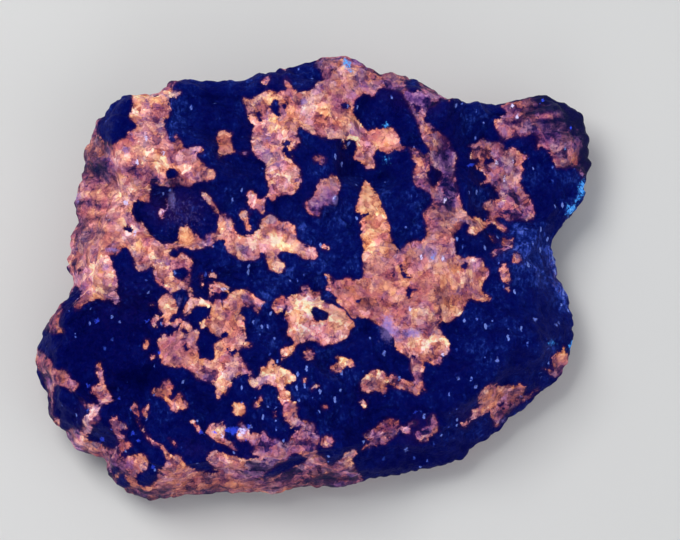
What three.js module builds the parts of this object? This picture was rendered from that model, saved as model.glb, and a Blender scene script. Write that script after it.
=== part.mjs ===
// A hand specimen of sphalerite ore: one broken slab, about 112 x 88 x 30 mm, lying on the flat of its
// underside. Millimetres, +Z up, origin under the middle of the slab. Its surface is drawn as a function
// of two values, around the outline and along a profile from the top's middle to the underside's, and
// then broken into flat facets, with ledges where the ore's layers reach the edges.
import * as THREE from 'three';
import { mergeVertices } from 'three/addons/utils/BufferGeometryUtils.js';

// Driving sizes.
const DETAIL = 18; // subdivisions of the ball whose points are laid on the slab
const CENTRE = new THREE.Vector2(0, 2); // where the spokes of the outline meet
const TOP_HEIGHT = 22; // the top face over the middle
const TOP_FALL = 0.03; // how much the top face falls to the right, per millimetre
const LOWER_RIM = 4.5; // height of the edge between the flanks and the underside
const UNDERCUT = 5; // how far that edge is drawn in from the outline
const UNDERSIDE_DIP = 0.8; // how far the underside would reach below the table before it is worn flat
const UNDERSIDE_CURVE = 2.6; // power of the underside's rise to its edge

// Where the top face, the slope under its edge and the flank end, along the profile from 0 to 1.
const TOP_END = 0.43;
const SLOPE_END = 0.54;
const FLANK_END = 0.66;

// The slab's greatest outline, anticlockwise from the right: x, y, height there, and the width of the
// slope between it and the edge of the top face.
const OUTLINE = [
  [50.2, 1.5, 8, 12], [48.4, 6.9, 8, 8], [47.8, 11.2, 9, 5], [49.8, 14.9, 9, 5], [53.4, 18.8, 9, 6],
  [55.0, 23.6, 9, 8], [55.6, 29.4, 9, 9], [54.4, 34.5, 10, 9], [51.0, 38.4, 11, 8], [46.8, 40.2, 12, 6],
  [41.8, 39.3, 13, 4], [36.8, 38.7, 12, 4], [31.8, 39.8, 11, 4], [27.0, 39.2, 14, 4], [24.2, 40.5, 17, 4],
  [19.4, 42.3, 18, 3], [16.2, 44.3, 19, 3], [11.8, 44.2, 20, 3], [8.2, 46.0, 21, 3], [4.0, 46.6, 21, 3],
  [-0.6, 46.3, 20, 3], [-5.2, 45.2, 20, 3], [-9.6, 43.4, 20, 3], [-15.2, 42.1, 20, 3],
  [-22.4, 42.1, 20, 3], [-28.4, 41.9, 20, 3], [-32.0, 39.7, 20, 3], [-37.0, 39.5, 19, 4],
  [-40.6, 38.5, 18, 4], [-43.2, 34.9, 17, 5], [-45.2, 32.0, 16, 7], [-46.8, 27.8, 15, 9],
  [-47.0, 23.3, 14, 10], [-48.6, 20.0, 13, 11], [-48.4, 16.6, 12, 11], [-49.6, 10.6, 11, 11],
  [-50.4, 6.3, 10, 10], [-49.6, 1.5, 10, 8], [-50.6, -1.5, 9, 7], [-53.8, -5.0, 9, 6],
  [-55.6, -9.7, 8, 6], [-55.6, -14.8, 8, 6], [-54.0, -21.3, 8, 5], [-53.4, -25.6, 7, 5],
  [-50.4, -28.5, 7, 5], [-48.0, -31.8, 7, 5], [-43.2, -34.5, 7, 5], [-41.4, -37.6, 7, 5],
  [-38.0, -40.2, 6, 5], [-32.8, -41.7, 6, 4], [-23.2, -41.0, 6, 4], [-12.2, -41.0, 6, 4],
  [-1.2, -39.6, 6, 4], [8.8, -38.5, 6, 4], [17.8, -36.5, 6, 5], [26.8, -34.0, 6, 7],
  [34.2, -29.4, 6, 8], [40.6, -24.1, 6, 9], [46.4, -19.4, 7, 10], [50.6, -14.8, 7, 12],
  [52.0, -9.7, 8, 14], [51.6, -4.7, 8, 14],
];

// Swells, hollows and ledges of the top face: centre, half length and half width, turn in degrees,
// rise, and how much of the half width the edge takes, small for a ledge and large for a swell.
const FORMS = [
  { x: 37, y: 25, long: 24, wide: 7, turn: -66, rise: -4.5, edge: 1.1 }, // valley beside the knob
  { x: 48, y: 26, long: 17, wide: 19, turn: 0, rise: -5.0, edge: 0.9 }, // the knob lies low
  { x: -5, y: 8, long: 20, wide: 15, turn: -10, rise: 2.4, edge: 0.9 }, // the crown
  { x: -3, y: 32, long: 21, wide: 8, turn: 4, rise: 1.8, edge: 0.6 }, // ridge along the far side
  { x: 19, y: 2, long: 10, wide: 18, turn: 0, rise: 1.7, edge: 0.6 }, // swell on the right
  { x: -31, y: 25, long: 14, wide: 7, turn: -12, rise: 2.4, edge: 0.4 }, // ledge on the left
  { x: -27, y: 13, long: 9, wide: 6, turn: -15, rise: -2.0, edge: 0.5 }, // hollow under that ledge
  { x: -41, y: -14, long: 13, wide: 10, turn: 10, rise: -3.4, edge: 0.4 }, // dark hollow, left
  { x: -28, y: -31, long: 18, wide: 9, turn: -20, rise: -3.0, edge: 0.6 }, // low corner, front left
  { x: -20, y: 33, long: 8, wide: 6, turn: 0, rise: -1.6, edge: 0.4 }, // hollow behind the ledge
  { x: 15, y: 33, long: 8, wide: 5, turn: -15, rise: -1.8, edge: 0.35 }, // hollow in the far ridge
  { x: 10, y: 16, long: 6, wide: 10, turn: 10, rise: -1.4, edge: 0.4 }, // hollow right of the crown
  { x: -8, y: -2, long: 12, wide: 4, turn: -6, rise: -1.4, edge: 0.5 }, // trough before the crown
  { x: -11, y: -12, long: 6, wide: 6, turn: 0, rise: -1.2, edge: 0.35 }, // pit, middle
  { x: 8, y: -15, long: 11, wide: 7, turn: -25, rise: -1.7, edge: 0.45 }, // hollow, front middle
  { x: 14, y: -27, long: 14, wide: 6, turn: 12, rise: -2.2, edge: 0.6 }, // low front edge
  { x: 33, y: -6, long: 6, wide: 12, turn: 12, rise: -1.5, edge: 0.8 }, // start of the right slope
];

// Broken facets: the size of one, its greatest tilt, and how much higher some stand than others.
const LUMPS = { size: 9, tilt: 0.22, lift: 0.07, channel: 1 }; // rounded lumps with creases between
const CHIPS = { size: 14, tilt: 0.3, lift: 0.09, channel: 9 }; // flat chips with edges between, cut in
const BREAKS = { size: 22, tilt: 0.4, lift: 0.1, channel: 17 }; // the large breaks of the flanks
const CALM = 0.2; // share of the relief that is left along the outline
const BREAK_DEPTH = 1.2; // how far the large breaks cut in on the whole
const FACET_FALL = 1.2; // how steeply a facet ends beyond half its size
const FACET_LEVEL = 0.066; // mean height of facets, in facet sizes

// The ore's layers, seen as low ledges on the slopes: their normal, thickness and ledge depth.
const LAYER_NORMAL = new THREE.Vector3(0.05, 0.8, 0.6).normalize();
const LAYER_THICKNESS = 5.2;
const LAYER_DEPTH = 0.55;

const outlineCurve = new THREE.CatmullRomCurve3(
  OUTLINE.map(([x, y, height]) => new THREE.Vector3(x, y, height)), true, 'catmullrom', 0.5);
outlineCurve.arcLengthDivisions = 2000;
const slopeCurve = new THREE.CatmullRomCurve3(
  OUTLINE.map(([, , , width]) => new THREE.Vector3(width, 0, 0)), true, 'catmullrom', 0.5);

// Repeatable chance from 0 to 1 for a cell of space; each channel is a different draw.
function chance(i, j, k, channel) {
  let h = Math.imul(i, 374761393) + Math.imul(j, 668265263)
    + Math.imul(k, 1442695041) + Math.imul(channel, 1274126177);
  h = Math.imul(h ^ (h >>> 13), 1103515245);
  return ((h ^ (h >>> 16)) >>> 0) / 4294967296;
}

// Height of the broken facets at a point: each cell of space holds a seed with a tilted flat facet,
// and the highest facet among the cells around the point is the surface.
function facetHeight(point, { size, tilt, lift, channel }) {
  const cell = point.clone().divideScalar(size).floor();
  const offset = new THREE.Vector3();
  const slope = new THREE.Vector3();
  let highest = -Infinity;
  for (let n = 0; n < 27; n += 1) {
    const i = cell.x + (n % 3) - 1;
    const j = cell.y + (Math.floor(n / 3) % 3) - 1;
    const k = cell.z + Math.floor(n / 9) - 1;
    const draw = (c) => chance(i, j, k, channel + c);
    offset.set(i + draw(0), j + draw(1), k + draw(2)).multiplyScalar(-size).add(point);
    slope.set(draw(3) - 0.5, draw(4) - 0.5, draw(5) - 0.5).multiplyScalar(2 * tilt);
    const beyond = Math.max(0, offset.length() / size - 0.5);
    const height = slope.dot(offset) + size * (lift * draw(6) - FACET_FALL * beyond * beyond);
    highest = Math.max(highest, height);
  }
  return highest - FACET_LEVEL * size;
}

// Height of the top face over a place: a falling plane with the swells, hollows and ledges on it.
function topHeight(x, y) {
  let height = TOP_HEIGHT - TOP_FALL * x;
  for (const form of FORMS) {
    const turn = THREE.MathUtils.degToRad(form.turn);
    const dx = x - form.x;
    const dy = y - form.y;
    const along = (dx * Math.cos(turn) + dy * Math.sin(turn)) / form.long;
    const across = (dy * Math.cos(turn) - dx * Math.sin(turn)) / form.wide;
    const inside = 1 - Math.hypot(along, across);
    height += form.rise * THREE.MathUtils.smoothstep(inside, -form.edge / 2, form.edge / 2);
  }
  return height;
}

// Ledges where the layers reach the surface: a saw-toothed height across the layers' normal.
function layerHeight(point) {
  const layer = point.dot(LAYER_NORMAL) / LAYER_THICKNESS;
  const share = layer - Math.floor(layer);
  const depth = LAYER_DEPTH * (0.4 + chance(Math.floor(layer), 0, 0, 5));
  return depth * (share < 0.8 ? share / 0.8 : (1 - share) / 0.2) - depth / 2;
}

// Share of the way through a stretch of the profile.
const through = (v, start, end) => THREE.MathUtils.clamp((v - start) / (end - start), 0, 1);

// The smooth slab: the point a share `around` the outline and a share `down` the profile.
function slabPoint(around, down) {
  const t = outlineCurve.getUtoTmapping(around);
  const rim = outlineCurve.getPoint(t);
  const reach = Math.hypot(rim.x - CENTRE.x, rim.y - CENTRE.y);
  const shoulder = 1 - slopeCurve.getPoint(t).x / reach;
  const foot = 1 - UNDERCUT / reach;
  const at = (share) => [
    THREE.MathUtils.lerp(CENTRE.x, rim.x, share),
    THREE.MathUtils.lerp(CENTRE.y, rim.y, share),
  ];
  if (down < TOP_END) {
    const [x, y] = at(shoulder * down / TOP_END);
    return new THREE.Vector3(x, y, topHeight(x, y));
  }
  if (down < SLOPE_END) {
    const share = through(down, TOP_END, SLOPE_END);
    const [x, y] = at(THREE.MathUtils.lerp(shoulder, 1, share));
    const edge = topHeight(...at(shoulder));
    return new THREE.Vector3(x, y, THREE.MathUtils.lerp(edge, rim.z, share ** 1.25));
  }
  if (down < FLANK_END) {
    const share = through(down, SLOPE_END, FLANK_END);
    const [x, y] = at(THREE.MathUtils.lerp(1, foot, share ** 1.5));
    return new THREE.Vector3(x, y, THREE.MathUtils.lerp(rim.z, LOWER_RIM, share));
  }
  const share = 1 - through(down, FLANK_END, 1);
  const [x, y] = at(foot * share);
  const rise = (LOWER_RIM + UNDERSIDE_DIP) * share ** UNDERSIDE_CURVE;
  return new THREE.Vector3(x, y, rise - UNDERSIDE_DIP);
}

// The way the surface faces there: up on the top, outward on the slope and flank, down below.
function facing(around, down) {
  const rim = outlineCurve.getPoint(outlineCurve.getUtoTmapping(around));
  const outward = new THREE.Vector3(rim.x - CENTRE.x, rim.y - CENTRE.y, 0).normalize();
  const slope = through(down, TOP_END - 0.04, SLOPE_END);
  const under = through(down, SLOPE_END, FLANK_END + 0.08);
  const lean = Math.PI / 2 * (1 - slope - under);
  return outward.multiplyScalar(Math.cos(lean)).setZ(Math.sin(lean));
}

// The broken slab: the smooth one moved along its facing by facets, layers and large breaks, and worn
// flat at the table.
function brokenPoint(around, down) {
  const point = slabPoint(around, down);
  const slopes = through(down, TOP_END - 0.03, TOP_END + 0.04) * (1 - through(down, FLANK_END, 0.8));
  const flanks = through(down, SLOPE_END + 0.04, FLANK_END) * (1 - through(down, 0.72, 0.85));
  const clear = CALM + (1 - CALM) * THREE.MathUtils.smoothstep(Math.abs(down - SLOPE_END), 0, 0.12);
  const relief = clear * (facetHeight(point, LUMPS) - facetHeight(point, CHIPS))
    + slopes * layerHeight(point)
    - flanks * (BREAK_DEPTH + facetHeight(point, BREAKS));
  point.addScaledVector(facing(around, down), relief);
  point.z = Math.max(point.z, 0);
  return point;
}

function specimenGeometry() {
  const ball = new THREE.IcosahedronGeometry(1, DETAIL);
  ball.deleteAttribute('normal');
  ball.deleteAttribute('uv');
  const geometry = mergeVertices(ball, 1e-4);
  const position = geometry.getAttribute('position');
  const point = new THREE.Vector3();
  for (let n = 0; n < position.count; n += 1) {
    point.fromBufferAttribute(position, n).normalize();
    const around = THREE.MathUtils.euclideanModulo(Math.atan2(point.y, point.x) / (2 * Math.PI), 1);
    const down = Math.acos(THREE.MathUtils.clamp(point.z, -1, 1)) / Math.PI;
    position.setXYZ(n, ...brokenPoint(around, down));
  }
  geometry.computeBoundingBox();
  const middle = geometry.boundingBox.getCenter(new THREE.Vector3());
  geometry.translate(-middle.x, -middle.y, 0);
  geometry.computeVertexNormals();
  return geometry;
}

const ore = new THREE.MeshStandardMaterial({ color: 0x6b3a2c, roughness: 0.55, metalness: 0.05 });
const specimen = new THREE.Mesh(specimenGeometry(), ore);
specimen.name = 'sphalerite_slab';

const group = new THREE.Group();
group.add(specimen);

export default group;
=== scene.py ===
"""Looks of a hand specimen of sphalerite ore under ultraviolet light, around its packed slab.

One skin replaces the plain slab: the slab's own form worked out again on a finer grid, with smaller
facets. Its markings are outlines and soft spots laid on the specimen from above, at the angle of the
picture, and kept as signed distances and tones on the skin's vertices.
"""

from __future__ import annotations

import itertools
import logging
import math
from dataclasses import dataclass, field
from enum import Enum

import bpy
import numpy as np
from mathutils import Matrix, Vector


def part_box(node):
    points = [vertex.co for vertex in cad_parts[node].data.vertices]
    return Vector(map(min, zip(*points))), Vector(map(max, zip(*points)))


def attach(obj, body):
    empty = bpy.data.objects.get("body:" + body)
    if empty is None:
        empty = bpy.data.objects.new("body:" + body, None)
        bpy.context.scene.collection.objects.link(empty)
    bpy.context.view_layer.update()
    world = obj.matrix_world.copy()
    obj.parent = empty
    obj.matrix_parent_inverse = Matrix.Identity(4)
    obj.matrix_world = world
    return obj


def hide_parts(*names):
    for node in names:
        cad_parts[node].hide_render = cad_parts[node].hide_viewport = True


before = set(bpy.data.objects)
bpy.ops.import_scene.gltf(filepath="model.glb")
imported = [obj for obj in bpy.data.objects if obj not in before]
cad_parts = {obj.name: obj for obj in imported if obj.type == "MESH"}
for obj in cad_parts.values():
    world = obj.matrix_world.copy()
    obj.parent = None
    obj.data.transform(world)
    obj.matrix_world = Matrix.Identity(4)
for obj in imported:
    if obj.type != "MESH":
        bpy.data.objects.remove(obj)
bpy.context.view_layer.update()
METRES = 0.001
# Odd factors that scatter whole numbers, and the largest number of 32 bits.
CHANCE_FACTORS = (374761393, 668265263, 1442695041)
CHANNEL_FACTOR = 1274126177
MIXING_FACTOR = 1103515245
ALL_BITS = 0xFFFFFFFF
# Numbers of the Mix node's two colour inputs and of its colour output.
MIX_ENDS = (6, 7)
MIX_RESULT = 2
Colour = tuple[float, float, float]
# A place in space, a direction, or a scale along each axis.
Place = tuple[float, float, float]
Spot = tuple[float, float, float, float, float, float]
Stop = tuple[float, int, int, int]

log = logging.getLogger("specimen")

# The slab's greatest outline, anticlockwise from the right, in millimetres: x, y, height there, and the
# width of the slope between it and the edge of the top face.
OUTLINE: tuple[tuple[float, float, float, float], ...] = (
    (50.2, 1.5, 8, 12), (48.4, 6.9, 8, 8), (47.8, 11.2, 9, 5), (49.8, 14.9, 9, 5), (53.4, 18.8, 9, 6),
    (55.0, 23.6, 9, 8), (55.6, 29.4, 9, 9), (55.0, 35.2, 10, 9), (52.0, 39.6, 11, 8), (47.0, 41.4, 12, 6),
    (41.8, 40.5, 13, 4), (36.8, 39.3, 12, 4), (31.8, 39.8, 11, 4), (27.0, 39.2, 14, 4), (24.2, 40.5, 17, 4),
    (19.4, 42.3, 18, 3), (16.2, 44.3, 19, 3), (11.8, 44.2, 20, 3), (8.2, 46.0, 21, 3), (4.0, 46.6, 21, 3),
    (-0.6, 46.3, 20, 3), (-5.2, 45.2, 20, 3), (-9.6, 43.4, 20, 3), (-15.2, 42.1, 20, 3), (-22.4, 42.1, 20, 3),
    (-28.4, 41.9, 20, 3), (-32.0, 39.7, 20, 3), (-37.0, 39.5, 19, 4), (-40.6, 38.5, 18, 4),
    (-43.2, 34.9, 17, 5), (-45.2, 32.0, 16, 7), (-46.8, 27.8, 15, 9), (-47.0, 23.3, 14, 10),
    (-48.6, 20.0, 13, 11), (-48.4, 16.6, 12, 11), (-49.6, 10.6, 11, 11), (-50.4, 6.3, 10, 10),
    (-49.6, 1.5, 10, 8), (-50.6, -1.5, 9, 7), (-53.8, -5.0, 9, 6), (-55.6, -9.7, 8, 6), (-55.6, -14.8, 8, 6),
    (-54.0, -21.3, 8, 5), (-53.4, -25.6, 7, 5), (-50.4, -28.5, 7, 5), (-48.0, -31.8, 7, 5),
    (-43.2, -34.5, 7, 5), (-41.4, -37.6, 7, 5), (-38.0, -40.2, 6, 5), (-32.8, -41.7, 6, 4),
    (-23.2, -41.0, 6, 4), (-12.2, -41.0, 6, 4), (-1.2, -39.6, 6, 4), (8.8, -38.5, 6, 4), (17.8, -36.5, 6, 5),
    (26.8, -34.0, 6, 7), (34.2, -29.4, 6, 8), (40.6, -24.1, 6, 9), (46.4, -19.4, 7, 10), (50.6, -14.8, 7, 12),
    (52.0, -9.7, 8, 14), (51.6, -4.7, 8, 14),
)

# Swells, hollows and ledges of the top face: x, y, half length, half width, turn in degrees, rise, and
# how much of the half width the edge takes.
FORMS: tuple[tuple[float, float, float, float, float, float, float], ...] = (
    (37, 25, 24, 7, -66, -4.5, 1.1), (48, 26, 17, 19, 0, -5.0, 0.9), (-5, 8, 20, 15, -10, 2.4, 0.9),
    (-3, 32, 21, 8, 4, 1.8, 0.6), (19, 2, 10, 18, 0, 1.7, 0.6), (-31, 25, 14, 7, -12, 2.4, 0.4),
    (-27, 13, 9, 6, -15, -2.0, 0.5), (-41, -14, 13, 10, 10, -3.4, 0.4), (-28, -31, 18, 9, -20, -3.0, 0.6),
    (-20, 33, 8, 6, 0, -1.6, 0.4), (15, 33, 8, 5, -15, -1.8, 0.35), (10, 16, 6, 10, 10, -1.4, 0.4),
    (-8, -2, 12, 4, -6, -1.4, 0.5), (-11, -12, 6, 6, 0, -1.2, 0.35), (8, -15, 11, 7, -25, -1.7, 0.45),
    (14, -27, 14, 6, 12, -2.2, 0.6), (33, -6, 6, 12, 12, -1.5, 0.8),
)

# The marks below lie in the plane square to the view, in fifths of a millimetre to the right of the
# view's middle and up from it. The outlines were read off one by one.
# Outlines of the fluorescent patches: right, up, right, up, ...
PATCHES: dict[str, tuple[int, ...]] = {
    "left_strip": (-239, 158, -237, 155, -239, 151, -242, 149, -243, 143, -243, 138, -238,
        129, -233, 128, -228, 126, -223, 128, -220, 131, -215, 130, -213, 136, -205, 141, -203,
        144, -206, 148, -209, 149, -211, 152, -210, 157, -207, 162, -208, 167, -208, 179, -204,
        182, -190, 182, -183, 183, -174, 193, -170, 195, -162, 195, -157, 193, -160, 189, -165,
        187, -169, 178, -169, 172, -171, 169, -172, 165, -169, 160, -170, 155, -173, 151, -176,
        149, -174, 138, -172, 132, -170, 128, -166, 126, -164, 130, -166, 133, -164, 135, -160,
        132, -158, 128, -157, 123, -153, 121, -148, 123, -142, 124, -138, 122, -138, 118, -141,
        117, -144, 119, -143, 113, -140, 109, -136, 106, -134, 103, -131, 101, -127, 101, -124,
        97, -126, 92, -130, 89, -147, 88, -149, 83, -162, 85, -166, 83, -180, 85, -185, 87,
        -189, 86, -190, 78, -190, 68, -193, 67, -201, 71, -205, 68, -208, 63, -208, 58, -205,
        51, -197, 47, -194, 41, -190, 36, -185, 31, -179, 27, -172, 27, -167, 26, -163, 30,
        -161, 24, -162, 20, -167, 21, -172, 18, -170, 13, -169, 8, -169, 1, -166, -7, -161, -11,
        -156, -10, -152, -13, -148, -20, -147, -26, -151, -26, -154, -20, -159, -18, -164, -21,
        -170, -23, -179, -16, -184, -11, -186, -6, -186, 0, -189, 5, -193, 0, -198, -1, -204, 1,
        -206, 6, -207, 12, -212, 22, -216, 23, -225, 15, -232, 13, -228, 8, -222, -10, -224,
        -23, -220, -31, -221, -35, -226, -34, -228, -30, -231, -28, -236, -31, -242, -28, -246,
        -29, -250, -32, -256, -33, -260, -40, -264, -40, -267, -36, -265, -32, -260, -29, -259,
        -22, -262, -17, -265, -16, -271, -24, -273, -21, -275, -10, -270, -2, -272, 4, -275, 8,
        -278, 8, -279, 20, -276, 28, -272, 35, -266, 58, -268, 76, -266, 81, -262, 83, -260, 89,
        -260, 112, -257, 118, -256, 125, -253, 130, -252, 134, -253, 142, -251, 147),
    "arch_left": (-172, 16, -168, 13, -164, 13, -160, 17, -156, 17, -152, 13, -148, 12,
        -147, 6, -149, 0, -150, -7, -152, -7, -152, 1, -157, 2, -164, 2, -169, 1),
    "loops": (-164, -9, -159, -11, -152, -7, -149, -10, -150, -15, -154, -14),
    "yellow": (-162, 23, -162, 34, -160, 41, -156, 44, -154, 47, -148, 39, -139, 31, -135,
        30, -133, 35, -128, 37, -125, 37, -123, 30, -126, 27, -128, 23, -133, 24, -143, 20,
        -148, 21, -153, 23),
    "lens_left": (-182, 57, -180, 61, -177, 62, -175, 59, -176, 54, -178, 51, -181, 53),
    "blob_left": (-182, -35, -179, -26, -174, -23, -170, -24, -166, -28, -162, -38, -164,
        -44, -168, -46, -172, -50, -176, -49, -178, -44, -181, -40),
    "bar_left": (-153, -34, -150, -29, -143, -28, -130, -31, -126, -34, -132, -37, -137,
        -36, -143, -36, -147, -39, -150, -43, -154, -46, -157, -44, -156, -39),
    "bit_a": (-189, -51, -187, -47, -183, -45, -181, -49, -184, -53, -183, -57, -187, -56),
    "bit_b": (-196, -73, -194, -69, -191, -70, -191, -74, -194, -79, -196, -79),
    "bit_c": (-190, -87, -188, -84, -183, -85, -186, -88, -189, -90),
    "ragged_left": (-179, -53, -175, -50, -171, -52, -167, -53, -164, -50, -160, -48, -158,
        -51, -162, -55, -166, -57, -170, -55, -175, -56),
    "crumb_left": (-132, -4, -128, -1, -124, -4, -123, -8, -127, -8, -131, -6),
    "streaks_mid": (-139, 78, -134, 77, -125, 67, -121, 58, -123, 55, -127, 61, -137, 73),
    "flat_brown": (-182, -70, -178, -69, -179, -65, -176, -64, -172, -66, -168, -65, -166,
        -60, -162, -60, -160, -55, -157, -51, -153, -51, -147, -58, -143, -60, -141, -63, -142,
        -68, -145, -73, -141, -83, -140, -88, -130, -90, -126, -90, -124, -86, -126, -75, -123,
        -72, -118, -69, -122, -66, -127, -64, -131, -61, -133, -56, -138, -58, -140, -53, -136,
        -49, -132, -51, -129, -37, -123, -25, -119, -31, -117, -37, -111, -41, -106, -41, -100,
        -44, -96, -48, -95, -55, -96, -63, -93, -66, -94, -69, -97, -71, -96, -76, -100, -79,
        -101, -82, -99, -87, -92, -99, -93, -103, -99, -104, -104, -107, -109, -112, -112, -123,
        -114, -126, -117, -123, -120, -126, -122, -130, -125, -116, -128, -113, -133, -112,
        -144, -108, -151, -100, -156, -97, -164, -97, -172, -96, -178, -93, -180, -88, -180,
        -80, -182, -74),
    "top_mid": (-117, -34, -114, -28, -110, -23, -104, -20, -92, -20, -88, -23, -84, -28,
        -80, -31, -75, -32, -78, -34, -79, -38, -82, -44, -84, -42, -87, -36, -99, -36, -100,
        -42, -106, -43, -112, -42, -116, -39),
    "cream_bit": (-127, -16, -125, -11, -115, -15, -111, -18, -112, -22, -118, -22, -123,
        -24, -127, -20),
    "small_peak": (-98, -75, -94, -72, -88, -74, -88, -77, -92, -78, -96, -77),
    "nub": (-68, -36, -66, -32, -62, -28, -58, -26, -55, -26, -56, -31, -55, -35, -55, -39,
        -63, -44, -67, -41),
    "ring": (-55, -33, -53, -28, -48, -25, -42, -24, -36, -21, -31, -20, -26, -22, -20, -21,
        -19, -25, -21, -30, -8, -34, -3, -38, 2, -37, 6, -41, 8, -47, 13, -51, 14, -56, 10, -61,
        10, -65, 1, -71, -6, -73, -12, -76, -17, -77, -22, -74, -25, -71, -30, -70, -42, -74,
        -47, -82, -51, -86, -56, -88, -59, -91, -58, -85, -59, -80, -55, -77, -49, -76, -46,
        -72, -49, -68, -53, -66, -53, -61, -51, -57, -53, -52, -56, -48, -54, -42, -53, -36),
    "sliver": (-40, -18, -36, -16, -32, -15, -31, -18, -35, -20, -39, -20),
    "crown_hot": (-123, 30, -124, 37, -121, 43, -122, 48, -120, 55, -117, 57, -109, 51,
        -106, 46, -105, 40, -103, 36, -98, 34, -92, 34, -87, 35, -80, 42, -81, 46, -79, 50, -70,
        56, -65, 54, -62, 51, -60, 47, -56, 48, -52, 48, -47, 45, -44, 42, -42, 30, -37, 27,
        -34, 24, -25, 22, -23, 19, -23, 14, -25, 11, -31, 11, -37, 12, -41, 14, -43, 17, -47,
        18, -60, 19, -62, 16, -62, 12, -59, 9, -56, 8, -55, 3, -57, -1, -61, -3, -67, -2, -71,
        0, -76, 16, -78, 18, -80, 16, -81, 12, -85, 10, -97, 10, -102, 11, -111, 17, -113, 20,
        -115, 29, -119, 30),
    "hook_bits": (-100, 59, -96, 60, -88, 56, -91, 53, -92, 49, -90, 45, -89, 40, -92, 39,
        -95, 42, -96, 47, -101, 55),
    "two_beads": (-93, 76, -91, 79, -87, 79, -83, 76, -83, 71, -78, 72, -73, 74, -75, 69,
        -75, 59, -77, 56, -81, 58, -84, 61, -89, 60, -93, 68, -91, 70),
    "bead_mid": (-19, 24, -16, 26, -12, 24, -11, 21, -15, 20, -18, 21),
    "rectangle": (-122, 137, -119, 139, -114, 139, -108, 137, -109, 131, -105, 118, -121,
        112, -122, 119, -121, 126, -123, 132),
    "dash": (-100, 117, -97, 119, -92, 119, -90, 117, -94, 114, -98, 115),
    "rim_a": (-126, 196, -121, 198, -110, 195, -113, 191, -118, 191, -123, 192),
    "rim_b": (-79, 188, -75, 192, -70, 194, -71, 190, -74, 186, -78, 186),
    "rim_c": (-60, 207, -56, 210, -52, 205, -55, 200, -58, 203),
    "rim_d": (-168, 179, -163, 180, -159, 179, -160, 175, -164, 172, -168, 174),
    "arch": (-97, 173, -89, 171, -84, 173, -74, 179, -68, 180, -63, 178, -57, 178, -53, 180,
        -55, 185, -56, 190, -54, 192, -50, 187, -47, 181, -42, 178, -37, 178, -30, 180, -26,
        180, -27, 183, -24, 187, -19, 190, -18, 193, -19, 198, -22, 202, -25, 204, -23, 210,
        -22, 216, -14, 219, -5, 220, 18, 218, 21, 214, 33, 207, 63, 204, 69, 201, 73, 195, 70,
        191, 66, 190, 65, 184, 69, 178, 74, 177, 82, 182, 78, 188, 81, 188, 86, 183, 99, 185,
        112, 171, 109, 169, 105, 172, 100, 171, 93, 164, 88, 162, 84, 149, 89, 146, 99, 137,
        105, 133, 109, 129, 110, 122, 115, 118, 117, 112, 114, 98, 116, 83, 119, 76, 121, 68,
        124, 60, 128, 53, 134, 53, 141, 51, 147, 49, 150, 46, 142, 41, 139, 37, 135, 34, 131,
        36, 127, 37, 127, 41, 130, 45, 125, 48, 113, 34, 115, 28, 115, 20, 117, 15, 125, 10,
        129, 13, 134, 12, 140, 12, 143, 9, 144, 4, 149, 0, 149, -5, 142, -15, 142, -21, 146,
        -25, 151, -28, 148, -31, 140, -31, 131, -30, 126, -32, 122, -42, 117, -47, 107, -54,
        103, -50, 99, -54, 100, -60, 109, -73, 110, -80, 107, -85, 102, -87, 102, -92, 99, -96,
        93, -94, 87, -91, 84, -92, 84, -97, 82, -109, 86, -121, 83, -121, 81, -118, 80, -124,
        77, -126, 69, -121, 65, -120, 60, -120, 56, -117, 56, -113, 59, -110, 65, -110, 69,
        -112, 73, -112, 74, -108, 71, -103, 70, -97, 71, -92, 69, -88, 65, -85, 56, -80, 54,
        -70, 50, -64, 44, -58, 26, -48, 20, -47, 12, -48, 8, -43, -2, -33, -8, -21, -14, -19,
        -13, -16, -10, -13, -15, -5, -10, -6, -5, -10, 1, -10, 5, -7, 10, -7, 14, -10, 20, -10,
        23, -7, 23, 16, 24, 22, 23, 27, 21, 31, 20, 35, 23, 38, 21, 43, 20, 49, 22, 53, 21, 57,
        16, 57, 15, 62, 18, 67, 23, 86, 26, 89, 34, 80, 38, 74, 48, 48, 50, 40, 51, 32, 54, 25,
        59, 19, 63, 21, 68, 27, 73, 30, 80, 29, 85, 31, 86, 39, 85, 47, 83, 53, 84, 59, 92, 67,
        92, 73, 88, 78, 78, 83, 74, 88, 73, 94, 74, 101, 77, 106, 73, 111, 69, 123, 73, 122, 83,
        115, 88, 115, 91, 118, 84, 128, 81, 135, 80, 142, 64, 174, 59, 179, 44, 183, 39, 182,
        34, 172, 31, 173, 29, 176, 24, 176, 19, 174, 16, 171, 14, 165, 11, 160, 20, 147, 27,
        139, 31, 141, 36, 142, 41, 141, 47, 142, 52, 142, 56, 138, 58, 134, 59, 129, 61, 124,
        65, 123, 63, 120, 58, 120, 54, 121, 51, 118, 46, 117, 40, 119, 36, 122, 34, 110, 36,
        105, 35, 102, 26, 101, 23, 106, 20, 109, 15, 111, 14, 114, 16, 120, 16, 126, 15, 130, 7,
        131, -7, 131, -15, 132, -22, 134, -40, 143, -43, 141, -43, 135, -40, 130, -41, 125, -44,
        122, -48, 120, -52, 120, -52, 123, -49, 125, -48, 129, -52, 131, -56, 130, -58, 120,
        -55, 115, -51, 112, -47, 113, -48, 109, -41, 103, -39, 98, -39, 90, -40, 83, -48, 76,
        -54, 76, -60, 75, -64, 72, -66, 68, -69, 70, -72, 75, -70, 80, -74, 90, -75, 97, -74,
        104, -76, 109, -81, 111, -86, 115, -89, 119, -88, 125, -89, 132, -86, 144, -90, 149),
    "bean": (-27, 111, -26, 115, -22, 115, -17, 114, -14, 110, -15, 106, -19, 106, -22, 109,
        -25, 108),
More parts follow.
